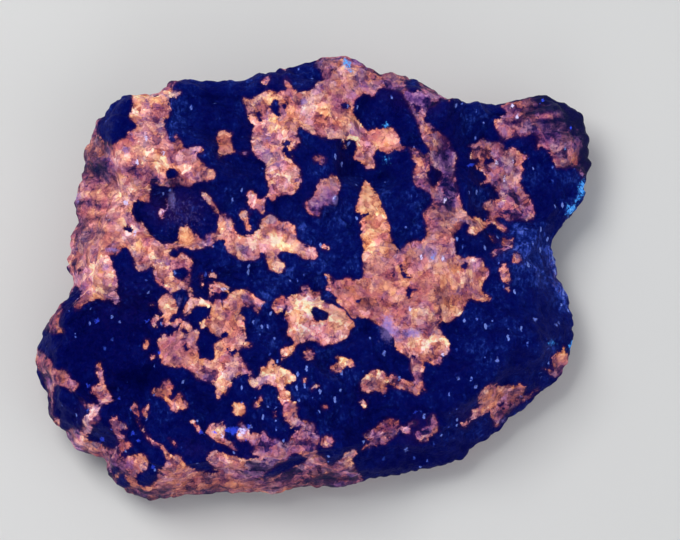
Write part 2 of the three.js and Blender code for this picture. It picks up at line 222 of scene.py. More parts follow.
    "brown_patch": (-27, 74, -25, 80, -19, 90, -13, 92, -8, 96, -4, 93, -1, 89, 0, 82, -2,
        76, -5, 72, -6, 66, -13, 66, -18, 65, -21, 53, -27, 54, -32, 58, -35, 63, -35, 67),
    "knob_top": (161, 164, 165, 168, 179, 170, 188, 173, 205, 177, 214, 176, 224, 173, 240,
        157, 246, 150, 251, 138, 255, 125, 255, 112, 251, 102, 246, 93, 242, 92, 240, 98, 235,
        102, 230, 103, 226, 101, 216, 103, 213, 109, 209, 120, 205, 123, 200, 124, 196, 121,
        196, 125, 198, 130, 196, 135, 192, 137, 186, 135, 162, 130, 159, 134, 154, 145, 156,
        150, 168, 157),
    "knob_low": (128, 124, 134, 125, 143, 132, 147, 128, 154, 127, 160, 129, 164, 125, 165,
        121, 172, 122, 178, 120, 183, 116, 188, 114, 185, 110, 181, 108, 183, 102, 182, 93, 179,
        89, 186, 77, 190, 72, 193, 64, 195, 56, 193, 51, 187, 49, 180, 51, 174, 50, 169, 48,
        165, 52, 160, 54, 156, 51, 159, 47, 165, 44, 168, 39, 164, 37, 155, 45, 150, 47, 147,
        50, 149, 55, 147, 60, 143, 62, 144, 67, 149, 70, 155, 70, 160, 73, 157, 78, 150, 87,
        140, 86, 146, 89, 147, 93, 144, 98, 140, 101, 134, 103, 141, 110, 130, 112, 131, 117,
        133, 121),
    "slip_a": (149, 35, 152, 35, 155, 31, 156, 28, 152, 28),
    "slip_b": (161, 30, 165, 34, 169, 29, 173, 32, 173, 24, 169, 21, 158, 17, 153, 13, 151,
        16, 157, 21, 163, 23),
    "slip_c": (173, 16, 176, 18, 180, 15, 182, 11, 181, 7, 176, 7, 172, 8),
    "slip_d": (162, 6, 165, 7, 167, 3, 169, -3, 170, -10, 169, -13, 165, -13, 161, -10, 160,
        -4, 160, 1),
    "slip_e": (165, -19, 167, -16, 170, -17, 171, -21, 168, -23),
    "rim_left": (-276, -28, -279, -36, -277, -41, -280, -46, -282, -52, -281, -58, -277,
        -60, -276, -62, -282, -63, -288, -63, -296, -58, -300, -53, -296, -45, -283, -32),
    "rim_low": (-304, -78, -297, -83, -290, -91, -286, -100, -282, -101, -278, -100, -274,
        -101, -271, -105, -269, -110, -265, -111, -261, -113, -261, -116, -267, -122, -271,
        -119, -282, -115, -286, -115, -287, -121, -287, -138, -288, -145, -292, -152, -296,
        -156, -297, -152, -291, -144, -290, -135, -291, -126, -297, -107, -306, -86),
    "oval": (-288, -151, -286, -147, -282, -148, -280, -151, -281, -157, -284, -161, -288,
        -161, -289, -157),
    "pin": (-243, -93, -240, -93, -238, -99, -236, -114, -229, -125, -227, -130, -231, -133,
        -236, -134, -240, -136, -243, -127, -247, -125, -250, -122, -249, -118, -245, -115,
        -241, -114, -240, -111, -243, -106, -244, -99),
    "lilac_chain": (-260, -129, -255, -133, -251, -135, -245, -133, -241, -136, -241, -141,
        -244, -144, -241, -146, -240, -150, -248, -157, -248, -161, -253, -165, -257, -166,
        -259, -162, -258, -156, -258, -150, -255, -146, -249, -145, -249, -140, -254, -138),
    "hooked": (-230, -151, -228, -148, -223, -147, -222, -151, -214, -155, -212, -159, -214,
        -160, -218, -158, -221, -161, -219, -166, -215, -166, -214, -169, -216, -172, -212,
        -171, -208, -175, -213, -179, -217, -181, -222, -182, -225, -179, -223, -175, -220,
        -173, -229, -158),
    "tooth_a": (-208, -137, -206, -133, -204, -132, -202, -135, -203, -139, -201, -144,
        -201, -147, -205, -144, -208, -140),
    "tooth_b": (-197, -139, -195, -136, -191, -135, -191, -140, -192, -144, -194, -148,
        -197, -145, -198, -142),
    "front_band": (-276, -161, -271, -160, -266, -158, -262, -159, -261, -164, -257, -167,
        -246, -172, -235, -175, -231, -178, -226, -179, -221, -181, -219, -186, -215, -187,
        -205, -185, -201, -183, -197, -184, -194, -187, -192, -192, -193, -198, -202, -204,
        -205, -208, -203, -213, -199, -216, -194, -217, -189, -215, -185, -211, -182, -206,
        -182, -200, -174, -196, -173, -190, -177, -179, -167, -185, -162, -184, -155, -193,
        -150, -198, -130, -204, -123, -204, -120, -201, -126, -199, -130, -194, -133, -188,
        -131, -183, -125, -181, -117, -183, -110, -186, -106, -186, -99, -189, -92, -190, -81,
        -188, -81, -185, -87, -185, -89, -182, -86, -179, -88, -175, -91, -172, -90, -167, -87,
        -162, -81, -163, -75, -162, -73, -167, -69, -169, -63, -169, -57, -171, -51, -174, -47,
        -164, -42, -161, -38, -157, -39, -152, -35, -150, -30, -152, -25, -153, -24, -159, -25,
        -164, -21, -166, -20, -170, -22, -175, -23, -180, -23, -185, -18, -185, -15, -188, -13,
        -193, -9, -196, 1, -189, 5, -184, 10, -181, 15, -180, 17, -184, 12, -188, 13, -193, 17,
        -202, 22, -205, 21, -209, 24, -214, 22, -218, 5, -220, -25, -222, -40, -224, -70, -230,
        -100, -234, -123, -235, -148, -232, -167, -232, -188, -237, -200, -234, -222, -224,
        -234, -221, -238, -210, -236, -199, -242, -196, -246, -191, -252, -188, -258, -186,
        -266, -181, -271, -174, -278, -167),
    "dart": (-195, -163, -191, -166, -188, -171, -178, -176, -174, -180, -177, -180, -182,
        -177, -188, -175, -195, -167),
    "dart_b": (-171, -169, -167, -170, -164, -173, -164, -177, -168, -174),
    "figure": (-188, -119, -184, -118, -180, -119, -176, -110, -174, -113, -171, -109, -166,
        -118, -168, -121, -169, -126, -168, -130, -164, -124, -160, -123, -154, -132, -152,
        -137, -156, -140, -160, -139, -164, -142, -168, -140, -175, -130, -180, -127, -185,
        -126, -188, -123),
    "chain": (-91, -111, -91, -106, -90, -100, -88, -106, -85, -109, -81, -108, -79, -104,
        -81, -100, -79, -97, -75, -97, -72, -92, -69, -89, -66, -91, -64, -95, -60, -96, -55,
        -100, -50, -100, -44, -107, -45, -111, -49, -114, -53, -114, -57, -116, -58, -118, -50,
        -122, -49, -126, -52, -129, -44, -133, -42, -138, -43, -144, -41, -148, -38, -151, -39,
        -155, -44, -157, -49, -158, -50, -154, -56, -149, -57, -143, -57, -136, -59, -132, -62,
        -130, -62, -123, -63, -118, -70, -114, -74, -114, -78, -115, -81, -118, -86, -118, -89,
        -116),
    "square": (-107, -134, -103, -132, -97, -133, -95, -137, -95, -144, -99, -146, -105,
        -145, -108, -141),
    "leaf": (-87, -137, -85, -132, -79, -127, -78, -130, -81, -136, -84, -138),
    "bead_low": (-36, -82, -33, -79, -28, -80, -26, -84, -27, -88, -32, -90, -36, -88),
    "crab": (-10, -99, -9, -95, -4, -94, -1, -91, -4, -88, -1, -86, 10, -89, 13, -92, 14,
        -96, 10, -97, 7, -95, 3, -98, 1, -102, -4, -102, -9, -101),
    "dot_a": (-29, -119, -26, -115, -22, -114, -20, -117, -25, -118, -28, -121),
    "fish": (20, -119, 21, -113, 24, -108, 32, -101, 38, -100, 43, -101, 46, -106, 48, -108,
        52, -104, 56, -106, 57, -109, 57, -114, 54, -118, 48, -118, 46, -122, 43, -124, 40,
        -121, 34, -121, 28, -123),
    "tiny_fan": (19, -133, 22, -130, 26, -131, 28, -135, 25, -139, 22, -135),
    "wedge_low": (-134, -162, -131, -156, -126, -153, -121, -154, -117, -152, -115, -157,
        -115, -164, -117, -168, -113, -171, -107, -174, -104, -180, -122, -173),
    "bead_right": (-20, -173, -18, -168, -14, -165, -9, -167, -6, -171, -8, -176, -13, -178,
        -18, -177),
    "front_right": (22, -181, 26, -175, 30, -171, 25, -167, 24, -164, 36, -158, 40, -153,
        46, -149, 50, -148, 53, -150, 58, -150, 59, -155, 57, -164, 49, -171, 45, -174, 32,
        -176),
    "link_right": (59, -155, 63, -157, 73, -151, 78, -152, 76, -155, 71, -156, 70, -160, 71,
        -164, 66, -164, 62, -161),
    "boot": (76, -163, 80, -160, 85, -158, 88, -155, 87, -150, 89, -146, 95, -145, 97, -150,
        99, -161, 90, -167, 86, -171, 80, -172, 76, -168),
    "feather": (120, -152, 124, -153, 128, -150, 131, -145, 132, -141, 137, -139, 139, -134,
        138, -128, 143, -119, 148, -116, 153, -114, 157, -114, 159, -117, 170, -115, 176, -116,
        179, -114, 183, -115, 186, -119, 184, -124, 181, -126, 186, -126, 190, -125, 194, -121,
        199, -118, 198, -122, 193, -126, 181, -132, 174, -137, 161, -151, 157, -157, 153, -156,
        154, -150, 151, -146, 152, -142, 148, -141, 130, -151, 127, -157, 122, -157),
    "rim_right": (203, -99, 209, -101, 212, -106, 217, -107, 221, -105, 226, -101, 232, -93,
        230, -87, 225, -82, 227, -77, 224, -75, 222, -81, 216, -83, 212, -87, 211, -92, 215,
        -98, 216, -102, 212, -101, 208, -99),
    "frost": (-102, -154, -99, -151, -95, -156, -91, -158, -90, -164, -92, -170, -98, -172,
        -102, -170, -104, -165, -101, -161),
    "stroke_a": (-174, 71, -172, 70, -171, 62, -173, 61),
    "stroke_b": (3, 130, 5, 130, 5, 122, 3, 122),
    "stroke_c": (-204, -150, -201, -151, -195, -160, -197, -162),
    "stroke_d": (-149, -151, -147, -150, -139, -161, -141, -163),
    "rim_bit_a": (-150, 195, -144, 196, -143, 193, -149, 192),
    "rim_bit_b": (-133, 194, -129, 195, -128, 192, -132, 191),
    "speck_a": (-37, -109, -34, -108, -34, -113, -37, -113),
    "speck_b": (-67, -142, -64, -141, -63, -146, -66, -147),
    "speck_c": (-19, -136, -13, -135, -12, -138, -18, -139),
    "speck_d": (-190, -34, -185, -33, -184, -35, -189, -36),
    "streak_a": (-140, -6, -138, -5, -136, -15, -138, -17),
    "streak_b": (-132, -14, -130, -13, -127, -28, -129, -29),
}

# Outlines of the dark gaps inside them.
GAPS: dict[str, tuple[int, ...]] = {
    "strip_hole": (-216, 42, -213, 43, -208, 43, -206, 40, -209, 37, -213, 37),
    "ledge_hole": (-175, 92, -174, 98, -170, 102, -165, 102, -162, 99, -163, 94, -167, 91,
        -170, 90),
    "pin_hole": (-185, 136, -183, 138, -181, 137, -183, 134),
    "link_hole": (-171, 19, -167, 20, -162, 19, -162, 14, -166, 13, -170, 15),
    "brown_hole": (-157, -74, -154, -74, -150, -79, -153, -81, -156, -79),
    "orange_hole": (-157, -58, -154, -61, -152, -65, -155, -64, -158, -61),
    "patch_gap": (-126, -64, -122, -66, -114, -61, -111, -63, -113, -67, -118, -69, -123,
        -68),
    "patch_notch": (-115, -74, -111, -78, -107, -80, -104, -80, -103, -84, -107, -86, -111,
        -83, -114, -78),
    "ring_hole": (-29, -37, -18, -39, -12, -42, -11, -46, -13, -50, -19, -51, -24, -50, -28,
        -46),
    "arch_hole_a": (-70, 166, -67, 171, -63, 172, -61, 166, -61, 160, -60, 155, -63, 152,
        -71, 162),
    "arch_hole_b": (-58, 165, -55, 167, -52, 165, -54, 162, -57, 163),
    "arch_hole_c": (-84, 156, -81, 158, -79, 153, -78, 148, -81, 149, -83, 152),
    "bay_bite": (1, 168, 5, 167, 9, 165, 13, 166, 10, 162, 7, 161, 3, 162, 0, 165),
    "band_hole": (74, 164, 78, 166, 81, 163, 80, 157, 77, 156),
    "slope_hole": (91, 107, 93, 103, 96, 101, 101, 100, 103, 96, 95, 83, 92, 84, 88, 94),
    "pocket": (80, 130, 85, 127, 89, 121, 85, 117, 80, 120),
    "pillar_hole": (21, 59, 24, 57, 29, 58, 29, 54, 24, 53, 21, 55),
    "pit": (14, -31, 17, -28, 21, -29, 20, -33, 17, -34),
    "crescent": (58, 9, 61, 7, 62, 2, 64, 0, 65, -4, 69, -7, 72, -5, 72, -8, 68, -9, 63, -8,
        60, -3, 60, 2),
    "claw": (69, -16, 71, -19, 78, -20, 72, -21, 71, -26, 69, -30, 66, -26, 67, -21),
    "round_hole": (121, 6, 125, 8, 128, 5, 127, 1, 123, 0, 120, 3),
    "knot": (71, -84, 76, -86, 75, -89, 72, -88),
    "knob_hole": (143, 110, 148, 112, 153, 113, 154, 109, 145, 105),
    "front_hole_a": (-229, -201, -227, -198, -222, -197, -219, -199, -226, -207, -229,
        -205),
    "front_hole_b": (-221, -206, -219, -203, -215, -202, -214, -208, -211, -212, -210, -217,
        -214, -219, -220, -217, -224, -214, -224, -209),
    "front_wedge": (-78, -208, -74, -202, -61, -194, -54, -191, -46, -183, -40, -184, -35,
        -187, -32, -190, -52, -201, -68, -207),
    "fish_hole": (44, -116, 49, -114, 54, -116, 50, -119, 45, -118),
    "figure_hole": (-179, -117, -177, -115, -175, -118, -177, -121),
    "figure_gap": (-170, -128, -167, -122, -164, -120, -163, -123, -166, -128, -169, -130),
    "chain_hole": (-69, -94, -66, -93, -64, -96, -68, -97),
    "feather_slit": (150, -140, 156, -136, 163, -133, 172, -131, 165, -134, 153, -141),
}

# Soft spots of tone, in the same plane: right, up, half length, half width, turn in degrees, strength.
# Most were read one by one. Some of the brightness and tint spots were set from mean differences of light
# and hue between the render and the picture.
SPOTS: dict[str, tuple[Spot, ...]] = {
    # Brighter above 0, darker below: the patches' own tone together with painted light and shade, a brighter
    # middle where the lamp fell and a darker knob, slopes and lower rim turned away from it.
    "painted_light_and_tone": (
        (-60, 30, 16, 12, 0, 1.05), (-40, 20, 18, 8, -10, 0.45), (-90, 36, 13, 10, 0, 0.5),
        (-32, -48, 26, 30, 0, 0.7), (-120, -98, 9, 28, 0, 0.35), (-154, 34, 9, 10, 0, 0.5),
        (-56, -108, 16, 18, 0, 0.75), (-101, -139, 8, 8, 0, 0.45), (-178, 58, 5, 5, 0, 0.4),
        (-173, -36, 10, 11, 0, 0.5), (-203, 168, 7, 13, 0, 0.45), (81, -74, 15, 9, 0, 0.7),
        (104, -73, 8, 9, 0, 0.5), (60, -76, 7, 6, 0, 0.5), (30, 70, 12, 18, 0, 0.55),
        (44, 130, 16, 13, 0, 0.7), (133, 39, 9, 8, 0, 0.45), (100, -7, 28, 9, 0, 0.22),
        (115, -39, 9, 10, 0, 0.45), (-50, 92, 12, 15, 0, 0.4), (-72, 8, 11, 10, 0, 0.35),
        (38, 30, 12, 26, 0, 0.5), (-10, 192, 14, 10, 0, 0.15), (10, 148, 18, 12, 0, 0.4),
        (160, 145, 16, 9, 0, 0.1), (-166, -82, 16, 14, 0, -0.1), (-182, -88, 10, 10, 0, 0.3),
        (9, -28, 20, 22, 0, -0.25), (108, -27, 18, 11, 0, -0.1), (50, 193, 26, 12, -8, -0.45),
        (-35, 162, 20, 16, 0, 0.25), (-16, 148, 20, 10, 0, -0.15), (0, 128, 18, 9, 0, 0.45),
        (72, 166, 22, 12, 0, -0.5), (-235, 133, 8, 9, 0, -0.5), (-110, -220, 160, 12, 3, -0.5),
        (-108, -232, 90, 7, 3, -0.3), (-200, -206, 30, 10, 0, -0.1), (155, -128, 30, 8, 28, 0.1),
        (165, -138, 30, 8, 28, -0.45), (48, -162, 22, 9, 30, -0.5), (86, -154, 14, 14, 0, -0.7),
        (222, -84, 8, 7, 0, 0.35), (222, -102, 16, 8, 0, -0.55), (-236, 125, 14, 10, 0, -0.4),
        (-240, 100, 19, 9, -4, -0.7), (-210, 101, 19, 4, -6, -0.7), (-173, 89, 19, 3.6, -16, -0.75),
        (-194, 82, 10, 7, 0, 0.35), (-208, 114, 26, 12, 0, 0.5), (-174, 112, 18, 10, 0, 0.3),
        (216, 172, 34, 12, -14, -1.7), (240, 152, 20, 22, -30, -1.6), (252, 120, 11, 34, -10, -1.8),
        (200, 154, 24, 12, -10, -0.9), (170, 164, 14, 8, 0, -0.3), (212, 130, 16, 14, -30, -0.35),
        (158, 126, 24, 14, 0, -0.75), (176, 62, 10, 34, 0, -0.4), (-246, 66, 22, 3.4, -3, -0.65),
        (-246, 51, 22, 3, -3, -0.35), (-248, 38, 20, 3.4, -3, -0.5), (-236, 59, 14, 4, 0, 0.35),
        (-240, 44, 16, 4, 0, 0.3), (-244, 8, 16, 9, 0, 0.35), (-210, 48, 12, 30, 0, 0.45),
        (-200, 18, 12, 14, 0, 0.35), (-274, 64, 7, 20, 0, -0.9), (-90, 70, 14, 20, 0, 0.35),
        (-108, 58, 7, 7, 0, -0.35), (-112, 30, 9, 9, 0, 0.3), (106, 98, 12, 36, 0, -0.8),
        (64, 36, 10, 14, 0, -0.4), (208, 154, 18, 2.6, 9, 1.3), (80, 16, 16, 9, 0, -0.3),
        (90, 170, 14, 12, 0, -0.35), (-20, 62, 18, 10, 0, -0.4), (-12, 82, 11, 9, 0, 0.05),
        (-228, -168, 9, 9, 0, -0.5), (-291, -60, 10, 14, 0, -0.8), (-294, -114, 10, 40, 0, -0.6),
        (-150, -10, 10, 9, 0, -0.8), (-126, -40, 22, 14, 0, 0.3), (3, -48, 16, 10, 0, 0.35),
        (130, -30, 9, 14, 0, 0.4), (-132, -108, 12, 9, 0, -0.4), (-100, -126, 24, 8, 0, -0.25),
        (-78, -176, 40, 12, 0, -0.55), (-132, -186, 12, 12, 0, -0.4), (-72, -204, 34, 10, 0, -0.35),
        (-4, -206, 24, 10, 0, -0.6), (-232, -210, 9, 12, 0, -1), (-208, -228, 22, 8, 0, -0.7),
        (-258, -182, 12, 9, 0, -0.4), (-292, -148, 8, 12, 0, -0.5), (-90, 150, 8, 20, 0, 0.2),
        (68, 112, 9, 9, 0, -0.7), (130, 112, 8, 9, 0, 0.4), (-150, 94, 8, 7, 0, 0.5),
        (-72, 92, 9, 9, 0, 0.3), (-212, 74, 12, 8, 0, 0.3), (-76, 138, 26, 10, 0, 0.25),
        (-108, 56, 6, 7, 0, -0.3), (-54, 14, 9, 6, 0, -0.4), (-190, 24, 12, 12, 0, 0.2),
        (-236, -12, 22, 12, 0, 0.5), (-44, -26, 16, 9, 0, 0.4), (-110, -26, 8, 10, 0, 0.3),
        (-88, -106, 16, 8, 0, -0.4), (-52, -126, 9, 8, 0, 0.5), (-118, -86, 10, 8, 0, -0.4),
        (168, 28, 10, 12, 0, -0.3), (-274, -166, 10, 9, 0, -0.4), (-102, -166, 14, 7, 0, 0.3),
        (245, -92, 8, 10, 0, -0.5), (48, -144, 9, 6, 0, 0.3), (66, -68, 7, 9, 0, -0.3),
        (144, -12, 9, 9, 0, 0.3), (-268, 56, 8, 12, 0, -0.4), (-250, -28, 14, 9, 0, 0.35),
        (-154, -26, 9, 8, 0, -0.4), (122, 112, 8, 9, 0, 0.5), (-90, 176, 10, 8, 0, 0.3),
        (-168, 154, 10, 10, 0, 0.35), (-134, -48, 12, 8, 0, 0.25), (48, 34, 8, 10, 0, 0.35),
        (248, -88, 8, 12, 0, -0.4), (-294, -144, 9, 10, 0, -0.5), (-72, 74, 9, 9, 0, 0.3),
        (-92, 78, 6, 8, 0, -0.3), (130, 56, 9, 8, 0, -0.4), (-186, 166, 8, 12, 0, 0.35),
        (-159, 113, 8, 9, 0, -0.45), (-214, 170, 5, 8, 0, -0.2), (4, 210, 40, 8, -4, -0.2),
        (-248, 75, 14, 7, 0, 0.3), (-241, 103, 15, 14, 0, -0.42), (166, 98, 13, 46, 0, -0.3),
        (186, 146, 18, 13, 0, -0.45), (4, 220, 50, 6, -4, -0.5), (71, 178, 16, 8, 0, -0.3),
        (64, 118, 9, 9, 0, -0.4), (-118, 56, 8, 8, 0, -0.6), (106, 74, 10, 16, 0, -0.15),
        (-63, 42, 4.5, 4.5, 0, -0.8), (-74, 35, 6, 6, 0, -0.45), (-51, 34, 7, 6, 0, -0.45),
        (-61, 27, 5, 8, 0, 0.35), (-98, 20, 8, 6, 0, -0.35), (-35, 16, 7, 4, -20, -0.2),
        (-68, 50, 8, 5, 0, -0.35), (-146, -91, 4.5, 9, 0, 0.4), (-104, -91, 8, 8, 0, -0.25),
        (-108, -78, 6, 2.6, -30, 0.6), (-107, -58, 7, 12, 0, -0.1), (96, 122, 12, 24, 0, -0.3),
        (80, 116, 8, 10, 0, -0.35), (-54, -185, 14, 11, 0, -0.35), (-84, -202, 24, 8, 0, -0.3),
        (-94, -167, 10, 6, 0, 0.3), (-134, -164, 9, 8, 0, -0.3), (-56, -125, 8, 9, 0, 0.25),
        (32, -143, 8, 6, 0, 0.3), (170, 2, 9, 12, 0, -0.35), (106, -63, 9, 8, 0, -0.3),
        (64, -61, 8, 7, 0, -0.2), (-154, -126, 8, 8, 0, -0.3),
    ),
    # Towards plum above 0, towards yellow below.
    "tint": (
        (60, 174, 34, 10, -12, 0.35), (220, 166, 30, 14, -20, 0.25), (210, 125, 30, 16, -30, -0.1),
        (108, 102, 10, 30, 0, 0.35), (90, 20, 34, 10, 0, 0.15), (-72, -182, 40, 14, 0, 0.25),
        (-110, -206, 18, 10, 0, 0.1), (-140, -220, 90, 12, 0, -0.4), (-20, -212, 30, 12, 0, -0.2),
        (-256, -144, 10, 10, 0, 0.35), (-15, 68, 16, 12, 0, 0.3), (72, -166, 14, 12, 0, 0.4),
        (25, -122, 9, 7, 0, 0.25), (100, 106, 10, 20, 0, 0.25), (44, 130, 14, 12, 0, -0.12),
        (-228, -168, 10, 8, 0, 0.2), (80, -154, 10, 12, 0, 0.3), (-252, 20, 16, 24, 0, 0.1),
        (-14, 152, 14, 9, 0, -0.35), (-158, 98, 12, 8, 0, -0.25), (58, -14, 46, 40, 0, -0.2),
        (38, 50, 12, 30, 0, -0.12), (-134, -42, 14, 9, 0, -0.25), (5, -86, 8, 8, 0, -0.35),
        (222, -86, 14, 12, 0, -0.25), (-240, 120, 26, 20, 0, -0.15), (28, 70, 14, 34, 0, -0.2),
        (12, -24, 18, 12, 0, -0.25), (118, -30, 24, 12, 0, -0.2), (148, -126, 26, 14, 0, -0.2),
        (-154, 32, 9, 10, 0, -0.5), (-115, 128, 9, 14, 0, -0.5), (-101, -139, 8, 8, 0, -0.4),
        (-174, -122, 10, 14, -30, -0.35), (-62, -106, 16, 14, 0, -0.2), (81, -74, 14, 8, 0, -0.15),
        (-200, -110, 8, 10, 0, -0.2), (-108, -60, 12, 20, 0, -0.15), (-246, 48, 24, 40, 0, -0.16),
        (-190, 110, 30, 10, 0, -0.1), (-166, 62, 26, 17, -10, 0.9), (-204, 166, 8, 14, 0, -0.3),
        (-186, 166, 8, 12, 0, -0.25), (-159, 113, 9, 9, 0, -0.2), (-241, 105, 16, 16, 0, 0.05),
        (85, 167, 20, 14, 0, 0.4), (-60, 194, 14, 9, 0, 0.3), (-128, -88, 13, 16, 0, -0.35),
        (201, 130, 28, 11, -25, 0.4), (106, 74, 12, 18, 0, 0.25), (160, 14, 9, 15, 0, 0.3),
        (127, -145, 12, 8, 0, 0.4), (-204, 80, 14, 16, 0, -0.25), (-146, -179, 14, 9, 0, 0.25),
        (-222, -30, 40, 30, 0, 0.2), (-40, -60, 30, 10, 0, 0.12),
    ),
    # Lilac veils.
    "violet": (
        (48, -58, 9, 18, 0, 0.9), (73, -63, 11, 6, 0, 0.9), (94, 15, 4, 9, -20, 0.8),
        (-36, 169, 4, 5, 0, 0.9), (-73, 132, 18, 8, 0, 0.5), (-214, 120, 7, 6, 0, 0.7),
        (-161, -32, 4, 6, 0, 0.8), (-228, 20, 8, 4, 0, 0.7), (-262, 72, 4, 8, 0, 0.7), (-5, 70, 4, 6, 0, 1),
        (-97, -161, 5, 6, 0, 0.9), (-90, -168, 5, 4, 0, 0.5), (163, -151, 5, 4, 0, 0.7),
        (180, -127, 4, 4, 0, 0.6), (-117, -32, 4, 5, 0, 0.6), (217, -5, 10, 26, 20, 0.5),
        (-157, 55, 34, 26, 0, 0.35), (-250, 20, 12, 16, 0, 0.3), (-168, 72, 3, 9, 5, 0.9),
    ),
    # Pale blue grains.
    "cyan": (
        (6, 207, 5, 5.5, 0, 0.9), (11, 200, 3, 4, 0, 0.6), (243, 82, 6, 12, -12, 0.85),
        (232, 61, 7, 5, -30, 0.85), (226, 56, 3, 3, 0, 0.6), (232, -75, 6, 7, 0, 0.7),
        (212, -73, 5, 5, 0, 0.6), (46, 145, 4, 4, 0, 0.7), (46, 111, 6, 7, 0, 0.5),
        (-168, 70, 2.5, 8, 5, 0.5), (94, 12, 3, 4, 0, 0.7), (225, 122, 4, 5, 0, 0.5),
        (237, 70, 4, 5, 0, 0.4),
    ),
    # Deep blue grains.
    "blue": (
        (-187, -197, 3.2, 3.2, 0, 1), (-107, -161, 2.6, 3, 0, 1), (-102, -160, 13, 6.5, 0, 0.6),
        (-126, -163, 6, 4, 0, 0.6), (-113, -160, 2.4, 2.4, 0, 0.9), (-91, -156, 2.4, 2.6, 0, 0.9),
        (-94, -170, 2.4, 2.4, 0, 0.8), (-207, -163, 3, 3, 0, 1), (-202, -171, 3, 3, 0, 0.9),
        (-243, -51, 3.5, 3.5, 0, 1), (-193, -51, 3.5, 3.5, 0, 0.9), (-252, -115, 3, 3, 0, 1),
        (-238, -169, 3.5, 3.5, 0, 1), (-139, -162, 3, 3, 0, 1), (-181, -82, 3, 3, 0, 0.9),
        (-221, -128, 2.6, 2.6, 0, 0.9), (131, 105, 7, 2.4, 20, 0.9), (188, 112, 6, 2.2, -5, 0.8),
        (76, -142, 4, 2.2, 30, 0.8), (-37, -160, 3, 3, 0, 0.7), (202, 169, 4, 2.2, 40, 0.9),
        (230, 142, 3, 3, 0, 0.9),
    ),
    # Painted glints: single white highlights on grains.
    "glint": (
        (-177, 117, 2.2, 3.8, 0, 0.95), (-203, 108, 2.2, 3.8, 0, 0.95), (-194, 132, 2.2, 3.8, 0, 0.95),
        (-232, 53, 2.2, 3.8, 0, 0.95), (-214, 67, 2.2, 3.8, 0, 0.95), (-205, 37, 2.2, 3.8, 0, 0.95),
        (105, 70, 2.2, 3.8, 0, 0.95), (103, 12, 2.2, 3.8, 0, 0.95), (81, 13, 2.2, 3.8, 0, 0.95),
        (70, -39, 2.2, 3.8, 0, 0.95), (172, 164, 2.2, 3.8, 0, 0.95), (177, 153, 2.2, 3.8, 0, 0.95),
        (157, 107, 2.2, 3.8, 0, 0.95), (164, 91, 2.2, 3.8, 0, 0.95), (172, 109, 2.2, 3.8, 0, 0.95),
        (103, -85, 2.2, 3.8, 0, 0.95), (84, -147, 2.2, 3.8, 0, 0.95), (118, -109, 2.2, 3.8, 0, 0.95),
        (136, -116, 2.2, 3.8, 0, 0.95), (66, -180, 2.2, 3.8, 0, 0.95), (44, -83, 2.2, 3.8, 0, 0.95),
        (194, -50, 2.2, 3.8, 0, 0.95), (217, -54, 2.2, 3.8, 0, 0.95), (201, -105, 2.2, 3.8, 0, 0.95),
        (228, -33, 2.2, 3.8, 0, 0.95), (157, -90, 2.2, 3.8, 0, 0.95), (-98, -162, 5, 6, 0, 0.85),
        (-90, -157, 3, 4, 0, 0.8), (-118, -166, 2.4, 3, 0, 0.8), (-5, 71, 2.2, 3.4, 0, 0.8),
        (-116, -19, 5, 3, 0, 0.8),
    ),
    # The dark matrix is bluer and lighter above 0, darker below: partly its own tone, partly painted light,
    # a brighter middle and a painted blue sheen towards the right.
    "painted_sheen_and_tone": (
        (0, 30, 120, 90, 0, 0.35), (190, 18, 34, 30, 0, 0.9), (160, -30, 60, 50, 0, 0.15),
        (-235, -80, 60, 50, 0, -0.6), (60, -130, 60, 40, 0, -0.05), (222, -20, 14, 34, 12, 0.9),
        (-160, 55, 34, 28, 0, 0.15), (120, -80, 60, 30, 0, 0.1), (-40, -80, 80, 50, 0, 0.1),
        (-260, -150, 30, 40, 0, -0.15), (220, -80, 30, 20, 0, 0.3), (90, -190, 60, 16, 10, -0.2),
        (-168, 158, 20, 34, 0, 0.8), (-135, 192, 34, 10, 0, 0.6), (-40, 195, 20, 10, 0, 0.3),
        (140, 155, 30, 30, 0, 0.4), (165, 70, 12, 40, 0, 0.4), (5, -42, 22, 12, 0, 0.7),
        (45, 120, 16, 14, 0, 0.4), (45, -206, 50, 18, 10, -0.5), (-70, 170, 30, 30, 0, 0.1),
        (240, 90, 16, 30, 0, 0.3),
    ),
    # Thin layers show above 0; on both sides of 0 the grain is calmer.
    "layered": (
        (-110, -216, 150, 22, 3, 0.5), (-248, 95, 26, 30, 0, 0.7), (-246, 48, 26, 36, 0, 0.7),
        (-290, -90, 16, 60, 0, 0.5), (50, 194, 30, 14, 0, 0.4), (222, 152, 34, 30, 0, 0.8),
        (158, -133, 40, 16, 28, 0.5), (220, -95, 20, 14, 0, 0.6), (106, 100, 12, 34, 0, 0.5),
        (-166, -82, 22, 18, 0, -0.9), (65, -22, 48, 36, 0, -0.5), (38, 40, 14, 40, 0, -0.4),
        (10, -30, 22, 20, 0, -0.5), (-14, 72, 14, 14, 0, -0.8), (-154, 32, 10, 10, 0, -0.7),
        (-228, 120, 20, 16, 0, -0.5), (-115, 128, 9, 12, 0, -0.9), (-108, -75, 16, 20, 0, -0.35),
        (-240, -14, 20, 18, 0, -0.4), (12, 176, 46, 30, -14, -0.5), (-101, -139, 8, 8, 0, -0.8),
        (44, 130, 14, 12, 0, -0.7), (28, 74, 9, 20, 0, -0.5), (104, -10, 26, 14, 0, -0.3),
        (-172, -33, 12, 12, 0, -0.5), (-78, 30, 20, 16, 0, -0.45), (-45, 20, 16, 10, 0, -0.45),
        (-112, -55, 14, 16, 0, -0.4), (92, 60, 30, 60, 0, -0.35),
    ),
}


